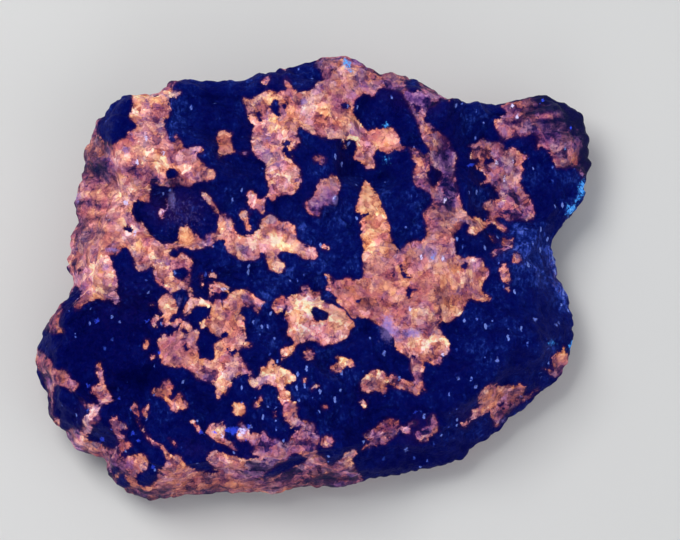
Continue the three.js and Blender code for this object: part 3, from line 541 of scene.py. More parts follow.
@dataclass(frozen=True)
class ViewPlane:
    """The plane square to the view through its target, in which the marks lie.

    A point's place in it is where the line from the camera to the point meets the plane.
    """

    target: Place = (5.17, 0.90, 16.0)
    elevation: float = 75.0
    frame_width: float = 136.0
    lens: float = 300.0
    sensor: float = 36.0
    unit: float = 0.2

    @property
    def back(self) -> np.ndarray:
        """Direction from the target to the camera."""
        angle = math.radians(self.elevation)
        return np.array([0.0, -math.cos(angle), math.sin(angle)])

    @property
    def up(self) -> np.ndarray:
        """Direction that points up in the picture."""
        angle = math.radians(self.elevation)
        return np.array([0.0, math.sin(angle), math.cos(angle)])

    @property
    def distance(self) -> float:
        """Millimetres from the target to the camera."""
        return self.frame_width / self.sensor * self.lens

    def place(self, points: np.ndarray) -> np.ndarray:
        """Carries points of the specimen to the plane.

        Args:
            points: places in millimetres, one row each.

        Returns:
            Right and up of each, in the plane's unit.
        """
        offset = points - np.array(self.target)
        nearer = self.distance / (self.distance - offset @ self.back)
        return np.column_stack([offset[:, 0], offset @ self.up]) * (nearer / self.unit)[:, None]


def smooth_step(value: np.ndarray, low: float, high: float) -> np.ndarray:
    """Rises from 0 at `low` to 1 at `high`, level at both ends: 3u^2 - 2u^3."""
    share = np.clip((value - low) / (high - low), 0, 1)
    return share * share * (3 - 2 * share)


def through(value: np.ndarray, start: float, end: float) -> np.ndarray:
    """Share of the way from `start` to `end`, kept within 0 to 1."""
    return np.clip((value - start) / (end - start), 0, 1)


def chance(i: np.ndarray, j: np.ndarray, k: np.ndarray, channel: int) -> np.ndarray:
    """Repeatable chance from 0 to 1 for cells of space.

    The three whole numbers and the channel are each multiplied by a large odd number, added, and mixed
    by shifts and one more product, all in 32 bits.

    Args:
        i: cell numbers along X.
        j: cell numbers along Y.
        k: cell numbers along Z.
        channel: which draw of the cell this is.

    Returns:
        One number for each cell.
    """
    with np.errstate(over="ignore"):
        mixed = np.uint32((channel * CHANNEL_FACTOR) & ALL_BITS)
        for number, factor in zip((i, j, k), CHANCE_FACTORS):
            mixed = mixed + number.astype(np.uint32) * np.uint32(factor)
        mixed = (mixed ^ (mixed >> np.uint32(13))) * np.uint32(MIXING_FACTOR)
    return (mixed ^ (mixed >> np.uint32(16))) / (ALL_BITS + 1.0)


@dataclass(frozen=True)
class Facets:
    """A layer of broken facets: the size of one, its greatest tilt, and how much some stand higher."""

    size: float
    tilt: float
    lift: float
    channel: int
    fall: float = 1.2
    level: float = 0.066

    def height(self, points: np.ndarray) -> np.ndarray:
        """Height of the facets at points of space.

        Each cell of space holds a seed with a tilted flat facet, made from seven draws: three for its
        place, three for its slope and one for its lift. Its height is its slope times the offset from
        the seed, plus its own lift, less a square of how far the point is beyond half a cell. The
        highest facet among the 27 cells around a point is the surface.

        Args:
            points: places in millimetres, one row each.

        Returns:
            Height at each point, in millimetres, about 0 on average.
        """
        cell = np.floor(points / self.size).astype(np.int64)
        highest = np.full(len(points), -np.inf)
        for step in itertools.product((-1, 0, 1), repeat=3):
            i, j, k = (cell + np.array(step)).T
            draw = [chance(i, j, k, self.channel + number) for number in range(7)]
            seed = np.column_stack([i + draw[0], j + draw[1], k + draw[2]]) * self.size
            offset = points - seed
            slope = (np.column_stack(draw[3:6]) - 0.5) * (2 * self.tilt)
            beyond = np.maximum(0, np.linalg.norm(offset, axis=1) / self.size - 0.5)
            height = (slope * offset).sum(axis=1) + self.size * (self.lift * draw[6] - self.fall * beyond**2)
            highest = np.maximum(highest, height)
        return highest - self.level * self.size


@dataclass(frozen=True)
class SlabForm:
    """The slab's surface as a function of two shares: around the outline, and down the profile.

    The profile runs from the middle of the top face over its edge, down the slope, the flank and under
    to the middle of the underside. Sizes are millimetres, with Z up from the table. The ends, the bands
    and where layers and breaks fade in and out are shares of the profile.
    """

    centre: tuple[float, float] = (0.0, 2.0)
    middle: tuple[float, float] = (-0.2686, 2.2667)
    top_height: float = 22.0
    top_fall: float = 0.03
    lower_rim: float = 4.5
    undercut: float = 5.0
    underside_dip: float = 0.8
    underside_curve: float = 2.6
    top_end: float = 0.43
    slope_end: float = 0.54
    flank_end: float = 0.66
    lumps: Facets = Facets(9, 0.22, 0.07, 1)
    chips: Facets = Facets(14, 0.3, 0.09, 9)
    breaks: Facets = Facets(22, 0.4, 0.1, 17)
    flakes: Facets = Facets(3.4, 0.3, 0.08, 25)
    grains: Facets = Facets(1.5, 0.4, 0.1, 33)
    calm: float = 0.2
    break_depth: float = 1.2
    layer_normal: Place = (0.05, 0.8, 0.6)
    layer_thickness: float = 5.2
    layer_depth: float = 0.55
    layer_least: float = 0.4
    layer_rise: float = 0.8
    layer_channel: int = 5
    slope_power: float = 1.25
    flank_power: float = 1.5
    lean_before: float = 0.04
    lean_after: float = 0.08
    layers_in: tuple[float, float] = (-0.03, 0.04)
    layers_out: float = 0.8
    breaks_in: float = 0.04
    breaks_out: tuple[float, float] = (0.72, 0.85)
    rim_band: float = 0.12
    flake_least: float = 0.35
    outline_steps: int = 2000

    def curve(self, rows: np.ndarray, share: np.ndarray) -> np.ndarray:
        """Closed Catmull-Rom curve through rows, with half the chord as the tangent at each row.

        Args:
            rows: the rows that the curve passes through, in order.
            share: place along it from 0 to 1, the rows evenly spaced.

        Returns:
            The curve's values, one row for each share.
        """
        count = len(rows)
        step = (share % 1.0) * count
        first = np.floor(step).astype(int)
        w = (step - first)[:, None]
        before, start, end, after = (rows[(first + n) % count] for n in (-1, 0, 1, 2))
        leave, arrive = (end - before) / 2, (after - start) / 2
        cubic = 2 * start - 2 * end + leave + arrive
        return start + leave * w + (3 * end - 3 * start - 2 * leave - arrive) * w**2 + cubic * w**3

    def rim(self, around: np.ndarray) -> tuple[np.ndarray, np.ndarray]:
        """The outline's point and slope width at shares of its length.

        Args:
            around: shares of the outline's length.

        Returns:
            Points x, y, height, and slope widths.
        """
        rows = np.array(OUTLINE, float)
        even = np.linspace(0, 1, self.outline_steps + 1)
        steps = np.linalg.norm(np.diff(self.curve(rows[:, :3], even), axis=0), axis=1)
        length = np.concatenate([[0], np.cumsum(steps)])
        share = np.interp(around * length[-1], length, even)
        values = self.curve(rows, share)
        return values[:, :3], values[:, 3]

    def top(self, xy: np.ndarray) -> np.ndarray:
        """Height of the top face: a falling plane plus each swell or hollow, whose edge is a smooth step.

        Args:
            xy: places over the table.

        Returns:
            Height at each.
        """
        height = self.top_height - self.top_fall * xy[:, 0]
        for x, y, long, wide, turn, rise, edge in FORMS:
            inside = 1 - ellipse_reach(xy, x, y, long, wide, turn)
            height = height + rise * smooth_step(inside, -edge / 2, edge / 2)
        return height

    def layers(self, points: np.ndarray) -> np.ndarray:
        """Ledges where the ore's layers reach the surface: a saw tooth across the layers' normal."""
        normal = np.array(self.layer_normal) / np.linalg.norm(self.layer_normal)
        layer = points @ normal / self.layer_thickness
        number = np.floor(layer)
        share = layer - number
        still = np.zeros(len(points), np.int64)
        draw = chance(number.astype(np.int64), still, still, self.layer_channel)
        depth = self.layer_depth * (self.layer_least + draw)
        rise = self.layer_rise
        return depth * np.where(share < rise, share / rise, (1 - share) / (1 - rise)) - depth / 2

    def smooth(self, around: np.ndarray, down: np.ndarray) -> tuple[np.ndarray, np.ndarray]:
        """The slab before it is broken.

        Along a spoke from the centre to the outline: the top face over its inner share, the slope as a
        power of the share to the outline's height, the flank as a power back to the foot, and the
        underside as a power of the share from the foot to the centre.

        Args:
            around: shares of the outline's length.
            down: shares of the profile.

        Returns:
            Points, and the way the surface faces at each.
        """
        rim, width = self.rim(around)
        centre = np.array(self.centre)
        spoke = rim[:, :2] - centre
        reach = np.linalg.norm(spoke, axis=1)
        shoulder, foot = 1 - width / reach, 1 - self.undercut / reach

        def at(share: np.ndarray) -> np.ndarray:
            """Places a share of the way along the spokes."""
            return centre + share[:, None] * spoke

        on_top = at(shoulder * np.minimum(down, self.top_end) / self.top_end)
        slope = through(down, self.top_end, self.slope_end)
        on_slope = at(shoulder + (1 - shoulder) * slope)
        edge = self.top(at(shoulder))
        flank = through(down, self.slope_end, self.flank_end)
        on_flank = at(1 + (foot - 1) * flank**self.flank_power)
        under = 1 - through(down, self.flank_end, 1)
        below = at(foot * under)
        parts = [down < self.top_end, down < self.slope_end, down < self.flank_end]
        dip = self.underside_dip
        heights = [
            self.top(on_top),
            edge + (rim[:, 2] - edge) * slope**self.slope_power,
            rim[:, 2] + (self.lower_rim - rim[:, 2]) * flank,
            (self.lower_rim + dip) * under**self.underside_curve - dip,
        ]
        xy = np.where(parts[2][:, None], on_flank, below)
        xy = np.where(parts[1][:, None], on_slope, xy)
        xy = np.where(parts[0][:, None], on_top, xy)
        height = np.select(parts, heights[:3], heights[3])
        leaning = through(down, self.top_end - self.lean_before, self.slope_end)
        turning = through(down, self.slope_end, self.flank_end + self.lean_after)
        lean = math.pi / 2 * (1 - leaning - turning)
        outward = spoke / reach[:, None]
        facing = np.column_stack([outward * np.cos(lean)[:, None], np.sin(lean)])
        return np.column_stack([xy, height]), facing

    def broken(self, around: np.ndarray, down: np.ndarray) -> np.ndarray:
        """The slab's surface: the smooth one moved along its facing by the facets, layers and breaks.

        Args:
            around: shares of the outline's length.
            down: shares of the profile.

        Returns:
            Points in millimetres, with the origin under the middle of the slab, none below the table.
        """
        point, facing = self.smooth(around, down)
        top, slope, flank = self.top_end, self.slope_end, self.flank_end
        start, end = self.layers_in
        slopes = through(down, top + start, top + end) * (1 - through(down, flank, self.layers_out))
        flanks = through(down, slope + self.breaks_in, flank) * (1 - through(down, *self.breaks_out))
        clear = self.calm + (1 - self.calm) * smooth_step(np.abs(down - slope), 0, self.rim_band)
        relief = (
            clear * (self.lumps.height(point) - self.chips.height(point))
            + slopes * self.layers(point)
            - flanks * (self.break_depth + self.breaks.height(point))
            + (self.flake_least + (1 - self.flake_least) * clear) * self.flakes.height(point)
            + self.grains.height(point)
        )
        point = point + facing * relief[:, None]
        point[:, :2] -= np.array(self.middle)
        point[:, 2] = np.maximum(point[:, 2], 0)
        return point


def ellipse_reach(xy: np.ndarray, x: float, y: float, long: float, wide: float, turn: float) -> np.ndarray:
    """How far out places are from an ellipse's middle, 1 on its edge.

    Args:
        xy: places, one row each.
        x: the ellipse's middle, across.
        y: the ellipse's middle, up.
        long: half its length.
        wide: half its width.
        turn: its length's angle, in degrees.

    Returns:
        The reach of each place: the length of its offset along and across, in half lengths and widths.
    """
    angle = math.radians(turn)
    dx, dy = xy[:, 0] - x, xy[:, 1] - y
    along = (dx * math.cos(angle) + dy * math.sin(angle)) / long
    across = (dy * math.cos(angle) - dx * math.sin(angle)) / wide
    return np.hypot(along, across)


def outline_distance(places: np.ndarray, outline: np.ndarray) -> np.ndarray:
    """Distance to a closed outline, positive inside it.

    The least distance to its edges, each reached at the nearest share of its length. A place is inside
    if a line to its right crosses the outline an odd number of times.

    Args:
        places: places in the plane, one row each.
        outline: corners of the outline, one row each.

    Returns:
        Signed distance of each place.
    """
    following = np.roll(outline, -1, axis=0)
    edge = following - outline
    offset = places[:, None, :] - outline[None, :, :]
    share = np.clip((offset * edge).sum(axis=2) / np.maximum((edge**2).sum(axis=1), 1e-9), 0, 1)
    gap = offset - share[:, :, None] * edge
    distance = np.sqrt((gap**2).sum(axis=2)).min(axis=1)
    x, y = places[:, :1], places[:, 1:]
    spans = (outline[:, 1] > y) != (following[:, 1] > y)
    rise = np.where(edge[:, 1] == 0, 1, edge[:, 1])
    crosses = spans & (x < outline[:, 0] + edge[:, 0] * (y - outline[:, 1]) / rise)
    inside = crosses.sum(axis=1) % 2 == 1
    return np.where(inside, distance, -distance)


@dataclass(frozen=True)
class Markings:
    """The specimen's markings as values at places of the view plane."""

    margin: float = 16.0

    def cover(self, places: np.ndarray, outlines: dict[str, tuple[int, ...]]) -> np.ndarray:
        """Signed distance to the nearest of several outlines, no less than minus the margin.

        Args:
            places: places in the plane.
            outlines: the outlines by name.

        Returns:
            The greatest of the signed distances at each place.
        """
        value = np.full(len(places), -self.margin)
        for corners in outlines.values():
            outline = np.array(corners, float).reshape(-1, 2)
            low, high = outline.min(axis=0) - self.margin, outline.max(axis=0) + self.margin
            near = np.flatnonzero(((places > low) & (places < high)).all(axis=1))
            if len(near):
                value[near] = np.maximum(value[near], outline_distance(places[near], outline))
        return value

    def patches(self, places: np.ndarray) -> np.ndarray:
        """Signed distance into the fluorescent patches, with their gaps cut out."""
        return np.minimum(self.cover(places, PATCHES), -self.cover(places, GAPS))

    def tone(self, places: np.ndarray, spots: tuple[Spot, ...]) -> np.ndarray:
        """Sum of soft spots: each adds its strength times a bell of the reach, exp(-reach^2)."""
        value = np.zeros(len(places))
        for x, y, long, wide, turn, strength in spots:
            value += strength * np.exp(-(ellipse_reach(places, x, y, long, wide, turn) ** 2))
        return value


class Stretch(Enum):
    """The stretches of the profile and how many rows of the skin each takes."""

    TOP = 88
    SLOPE = 16
    FLANK = 18
    UNDER = 26


@dataclass
class OreSkin:
    """The specimen's skin: the broken slab on a grid of rings and spokes, closed at both poles.

    The mirror's pace and least share say how places out of view are read back over the rim. What is out
    of view starts a band below the rim, and is shaded and layered by a fixed amount.
    """

    form: SlabForm = field(default_factory=SlabForm)
    plane: ViewPlane = field(default_factory=ViewPlane)
    marks: Markings = field(default_factory=Markings)
    spokes: int = 664
    mirror_pace: float = 0.9
    mirror_least: float = 0.02
    unseen_band: tuple[float, float] = (0.01, 0.07)
    unseen_shade: float = 0.3
    slope_shade: float = 0.15
    unseen_layers: float = 0.6
    piece: bpy.types.Object | None = None

    def profile_rows(self) -> np.ndarray:
        """Shares of the profile for the rings: evenly spaced within each stretch, poles left out."""
        form = self.form
        ends = [0.0, form.top_end, form.slope_end, form.flank_end, 1.0]
        rows = [
            np.linspace(start, end, stretch.value, endpoint=False)
            for stretch, start, end in zip(Stretch, ends[:-1], ends[1:])
        ]
        return np.concatenate(rows)[1:]

    def mark_places(self, around: np.ndarray, down: np.ndarray, points: np.ndarray) -> np.ndarray:
        """Where each vertex reads its markings in the view plane.

        What the view sees reads its own place. The flank and underside, which it doesn't see, read the
        place as far inside the outline as they are beyond it, so patches run on over the edge.

        Args:
            around: shares of the outline's length.
            down: shares of the profile.
            points: the vertices, in millimetres.

        Returns:
            Places in the plane.
        """
        form = self.form
        hidden = down > form.slope_end
        beyond = np.where(hidden, down - form.slope_end, 0)
        inward = np.maximum(form.slope_end - self.mirror_pace * beyond, self.mirror_least)
        mirrored = form.broken(around, inward)
        return self.plane.place(np.where(hidden[:, None], mirrored, points))

    def values(self, around: np.ndarray, down: np.ndarray, points: np.ndarray) -> dict[str, np.ndarray]:
        """The markings at each vertex, by name.

        Args:
            around: shares of the outline's length.
            down: shares of the profile.
            points: the vertices, in millimetres.

        Returns:
            Values for the skin's attributes. Patch depth is in millimetres, the others are shares.
        """
        form = self.form
        places = self.mark_places(around, down, points)
        start, end = self.unseen_band
        unseen = smooth_step(down, form.slope_end + start, form.slope_end + end)
        sloping = smooth_step(down, form.top_end, form.slope_end)
        tones = {name: self.marks.tone(places, spots) * (1 - unseen) for name, spots in SPOTS.items()}
        # Painted shade: darker down the slope and where the view doesn't reach.
        tones["painted_light_and_tone"] = tones["painted_light_and_tone"] - self.unseen_shade * unseen - self.slope_shade * sloping
        tones["layered"] = tones["layered"] + self.unseen_layers * unseen
        return {"patch": self.marks.patches(places) * self.plane.unit, "unseen": unseen, **tones}

    def build(self) -> None:
        """Makes the mesh: rings by spokes of quads, a fan at each pole, and the marking attributes."""
        rows = self.profile_rows()
        ring, spoke = np.meshgrid(rows, np.arange(self.spokes) / self.spokes, indexing="ij")
        down = np.concatenate([[0.0], ring.ravel(), [1.0]])
        around = np.concatenate([[0.0], spoke.ravel(), [0.0]])
        points = self.fitted(self.form.broken(around, down))
        count, last = self.spokes, len(points) - 1
        first = 1 + np.arange(len(rows) * count).reshape(len(rows), count)
        upper, lower = first[:-1], first[1:]
        quads = np.stack([upper, lower, np.roll(lower, -1, 1), np.roll(upper, -1, 1)], 2).reshape(-1, 4)
        top, foot = first[0], first[-1]
        fans = [
            np.column_stack([np.zeros_like(top), top, np.roll(top, -1)]),
            np.column_stack([foot, np.full_like(foot, last), np.roll(foot, -1)]),
        ]
        mesh = bpy.data.meshes.new("ore_skin")
        faces = quads.tolist() + np.concatenate(fans).tolist()
        mesh.from_pydata((points * METRES).tolist(), [], faces)
        mesh.polygons.foreach_set("use_smooth", np.ones(len(mesh.polygons), bool))
        for name, value in self.values(around, down, points).items():
            attribute = mesh.attributes.new(name, "FLOAT", "POINT")
            attribute.data.foreach_set("value", value.astype(np.float32))
        mesh.update()
        self.piece = bpy.data.objects.new("ore_skin", mesh)
        bpy.context.scene.collection.objects.link(self.piece)

    def fitted(self, points: np.ndarray) -> np.ndarray:
        """Scales the skin along each axis by the little that brings it inside the slab's box.

        Args:
            points: the skin's points, in millimetres.

        Returns:
            The same points, at most as far out as the slab's box on each side.
        """
        low, high = (np.array(corner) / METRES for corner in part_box("sphalerite_slab"))
        sides = np.minimum(low[:2] / points.min(axis=0)[:2], high[:2] / points.max(axis=0)[:2])
        share = np.append(sides, high[2] / points[:, 2].max())
        return points * np.minimum(share, 1.0)

    def dress(self) -> None:
        """Gives the skin its finish, hangs it on the root body and hides the slab in its place."""
        self.piece.data.materials.append(OreFinish().material())
        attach(self.piece, "root")
        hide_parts("sphalerite_slab")
        log.info("ore_skin: %d vertices, %d faces", len(self.piece.data.vertices),
                 len(self.piece.data.polygons))


class Value:
    """A shader value: arithmetic on it adds Math nodes."""

    def __init__(self, bench: NodeBench, socket: bpy.types.NodeSocket) -> None:
        """Wraps an output socket of the bench's material."""
        self.bench = bench
        self.socket = socket

    def maths(self, operation: str, *inputs: Value | float) -> Value:
        """Adds a Math node.

        Args:
            operation: the node's operation.
            inputs: its values, in order.

        Returns:
            The node's result.
        """
        numbered = dict(enumerate(inputs))
        return self.bench.value("ShaderNodeMath", {"operation": operation}, numbered)

    def __add__(self, other: Value | float) -> Value:
        """Sum."""
        return self.maths("ADD", self, other)

    def __radd__(self, other: float) -> Value:
        """Sum with the number first."""
        return self.maths("ADD", other, self)

    def __sub__(self, other: Value | float) -> Value:
        """Difference."""
        return self.maths("SUBTRACT", self, other)

    def __rsub__(self, other: float) -> Value:
        """Difference with the number first."""
        return self.maths("SUBTRACT", other, self)

    def __mul__(self, other: Value | float) -> Value:
        """Product."""
        return self.maths("MULTIPLY", self, other)

    def __pow__(self, other: Value | float) -> Value:
        """Power."""
        return self.maths("POWER", self, other)

    def larger(self, other: Value | float) -> Value:
        """The larger of the two."""
        return self.maths("MAXIMUM", self, other)

    def smaller(self, other: Value | float) -> Value:
        """The smaller of the two."""
        return self.maths("MINIMUM", self, other)

    def size(self) -> Value:
        """The value without its sign."""
        return self.maths("ABSOLUTE", self)

    def step(self, low: float, high: float) -> Value:
        """Smooth step from 0 at `low` to 1 at `high`; it falls if `low` is the higher."""
        settings = {"interpolation_type": "SMOOTHSTEP"}
        sockets = {"Value": self, "From Min": min(low, high), "From Max": max(low, high)}
        rising = self.bench.value("ShaderNodeMapRange", settings, sockets, "Result")
        return rising if low < high else 1 - rising


@dataclass(frozen=True)
class Cloud:
    """A noise: features to a millimetre, how many finer layers, how strong they are, and its twist."""

    per_mm: float
    detail: float = 2.0
    roughness: float = 0.5
    warp: float = 0.0


@dataclass(frozen=True)
class Mosaic:
    """A cell pattern: cells to a millimetre, how far their edges stray in millimetres, and its squeeze.

    The squeeze scales the coordinates along each axis; less than 1 draws the cells out.
    """

    per_mm: float
    warp: float
    squeeze: Place = (1, 1, 1)
    warp_pace: float = 2.5


@dataclass(frozen=True)
class Cells:
    """Grains of one size: three unlinked levels for each, from -0.5 to 0.5, and the reach from its middle."""

    level: Value
    shade: Value
    tint: Value
    reach: Value


class NodeBench:
    """Adds nodes to one material."""

    def __init__(self, name: str) -> None:
        """Starts an empty material of that name."""
        self.material = bpy.data.materials.new(name)
        self.material.use_nodes = True
        self.material.node_tree.nodes.clear()

    def node(self, kind: str, settings: dict | None = None, sockets: dict | None = None) -> bpy.types.Node:
        """Adds one node.

        Args:
            kind: the node's type.
            settings: its properties, set first; `stops` are a ramp's places and colours.
            sockets: values or links of its inputs, by name or number.

        Returns:
            The node.
        """
        made = self.material.node_tree.nodes.new(kind)
        for name, setting in (settings or {}).items():
            if name == "stops":
                self.set_stops(made.color_ramp, setting)
            else:
                setattr(made, name, setting)
        for name, given in (sockets or {}).items():
            given = given.socket if isinstance(given, Value) else given
            if isinstance(given, bpy.types.NodeSocket):
                self.material.node_tree.links.new(given, made.inputs[name])
            else:
                made.inputs[name].default_value = given
        return made

    def set_stops(self, ramp: bpy.types.ColorRamp, stops: list[tuple[float, Colour]]) -> None:
        """Gives a ramp its stops.

        Args:
            ramp: the ramp of a new node, which has two stops.
            stops: place and linear colour of each.
        """
        while len(ramp.elements) < len(stops):
            ramp.elements.new(1.0)
        for element, (place, colour) in zip(ramp.elements, stops):
            element.position = place
            element.color = (*colour, 1.0)

    def value(self, kind: str, settings: dict | None = None, sockets: dict | None = None,
              output: str | int = 0) -> Value:
        """Adds one node and wraps one of its outputs.

        Args:
            kind: the node's type.
            settings: its properties.
            sockets: values or links of its inputs.
            output: which output, by name or number.

        Returns:
            The wrapped output.
        """
        return Value(self, self.node(kind, settings, sockets).outputs[output])

    def attribute(self, name: str) -> Value:
        """A value kept on the mesh."""
        return self.value("ShaderNodeAttribute", {"attribute_name": name}, output="Fac")

    def place(self) -> bpy.types.NodeSocket:
        """Object coordinates."""
        return self.node("ShaderNodeTexCoord").outputs["Object"]

    def stretched(self, scale: Place) -> bpy.types.NodeSocket:
        """Object coordinates scaled along each axis, per millimetre."""
        sockets = {"Vector": self.place(), "Scale": [part / METRES for part in scale]}
        return self.node("ShaderNodeMapping", None, sockets).outputs["Vector"]

    def noise(self, cloud: Cloud, vector: bpy.types.NodeSocket | None = None) -> Value:
        """Cloud noise, 0 on average.

        Args:
            cloud: its settings.
            vector: where it is read, already per millimetre; Object coordinates if not given.

        Returns:
            The noise, from about -0.5 to 0.5.
        """
        scale = cloud.per_mm if vector else cloud.per_mm / METRES
        sockets = {"Vector": vector or self.place(), "Scale": scale, "Detail": cloud.detail,
                   "Roughness": cloud.roughness, "Distortion": cloud.warp}
        return self.value("ShaderNodeTexNoise", None, sockets, "Fac") - 0.5

    def cells(self, mosaic: Mosaic) -> Cells:
        """Voronoi cells with uneven edges.

        Args:
            mosaic: the pattern's settings.

        Returns:
            The cells' levels and reach.
        """
        place = self.strayed(mosaic.warp, mosaic.per_mm * mosaic.warp_pace)
        squeezed = self.node("ShaderNodeVectorMath", {"operation": "MULTIPLY"}, {0: place, 1: mosaic.squeeze})
        sockets = {"Vector": squeezed.outputs["Vector"], "Scale": mosaic.per_mm / METRES}
        made = self.node("ShaderNodeTexVoronoi", None, sockets)
        split = self.node("ShaderNodeSeparateColor", None, {"Color": made.outputs["Color"]})
        levels = (Value(self, split.outputs[name]) - 0.5 for name in ("Red", "Green", "Blue"))
        return Cells(*levels, Value(self, made.outputs["Distance"]))

    def strayed(self, reach: float, per_mm: float) -> bpy.types.NodeSocket:
        """Object coordinates moved about by noise.

        Args:
            reach: how far they may move, in millimetres.
            per_mm: how many of the noise's features there are to a millimetre.

        Returns:
            The moved coordinates.
        """
        place = self.place()
        sockets = {"Vector": place, "Scale": per_mm / METRES, "Detail": 1.0}
        cloud = self.node("ShaderNodeTexNoise", None, sockets).outputs["Color"]
        centred = self.node("ShaderNodeVectorMath", {"operation": "SUBTRACT"}, {0: cloud, 1: (0.5, 0.5, 0.5)})
        moved = self.node("ShaderNodeVectorMath", {"operation": "SCALE"},
                          {0: centred.outputs["Vector"], "Scale": 2 * reach * METRES})
        return self.node("ShaderNodeVectorMath", {"operation": "ADD"},
                         {0: place, 1: moved.outputs["Vector"]}).outputs["Vector"]

    def ramp(self, factor: Value, stops: list[tuple[float, Colour]]) -> bpy.types.NodeSocket:
        """A colour read from a ramp.

        Args:
            factor: where it is read.
            stops: place and linear colour of each stop.

        Returns:
            The colour.
        """
        return self.node("ShaderNodeValToRGB", {"stops": stops}, {"Fac": factor}).outputs["Color"]

    def mix(self, factor: Value | float, first: bpy.types.NodeSocket | Colour,
            second: bpy.types.NodeSocket | Colour, blend: str = "MIX") -> bpy.types.NodeSocket:
        """Mixes two colours.

        Args:
            factor: share of the second.
            first: a colour or link.
            second: a colour or link.
            blend: how they are mixed.

        Returns:
            The mixed colour.
        """
        ends = {}
        for number, given in zip(MIX_ENDS, (first, second)):
            ends[number] = given if isinstance(given, bpy.types.NodeSocket) else (*given, 1.0)
        settings = {"data_type": "RGBA", "blend_type": blend}
        return self.node("ShaderNodeMix", settings, {0: factor, **ends}).outputs[MIX_RESULT]

    def bump(self, height: Value) -> bpy.types.NodeSocket:
        """A normal from a height in millimetres."""
        return self.node("ShaderNodeBump", None, {"Height": height, "Distance": METRES}).outputs["Normal"]


def linear(red: int, green: int, blue: int) -> Colour:
    """Linear colour of a screen colour, each part from 0 to 255, by the sRGB curve."""
    parts = [part / 255 for part in (red, green, blue)]
    return tuple(part / 12.92 if part <= 0.04045 else ((part + 0.055) / 1.055) ** 2.4 for part in parts)


def toned(stops: tuple[Stop, ...], share: float) -> list[tuple[float, Colour]]:
    """Ramp stops from places and screen colours, their linear parts scaled for the light they get."""
    return [(place, tuple(min(1.0, part * share) for part in linear(*rgb))) for place, *rgb in stops]


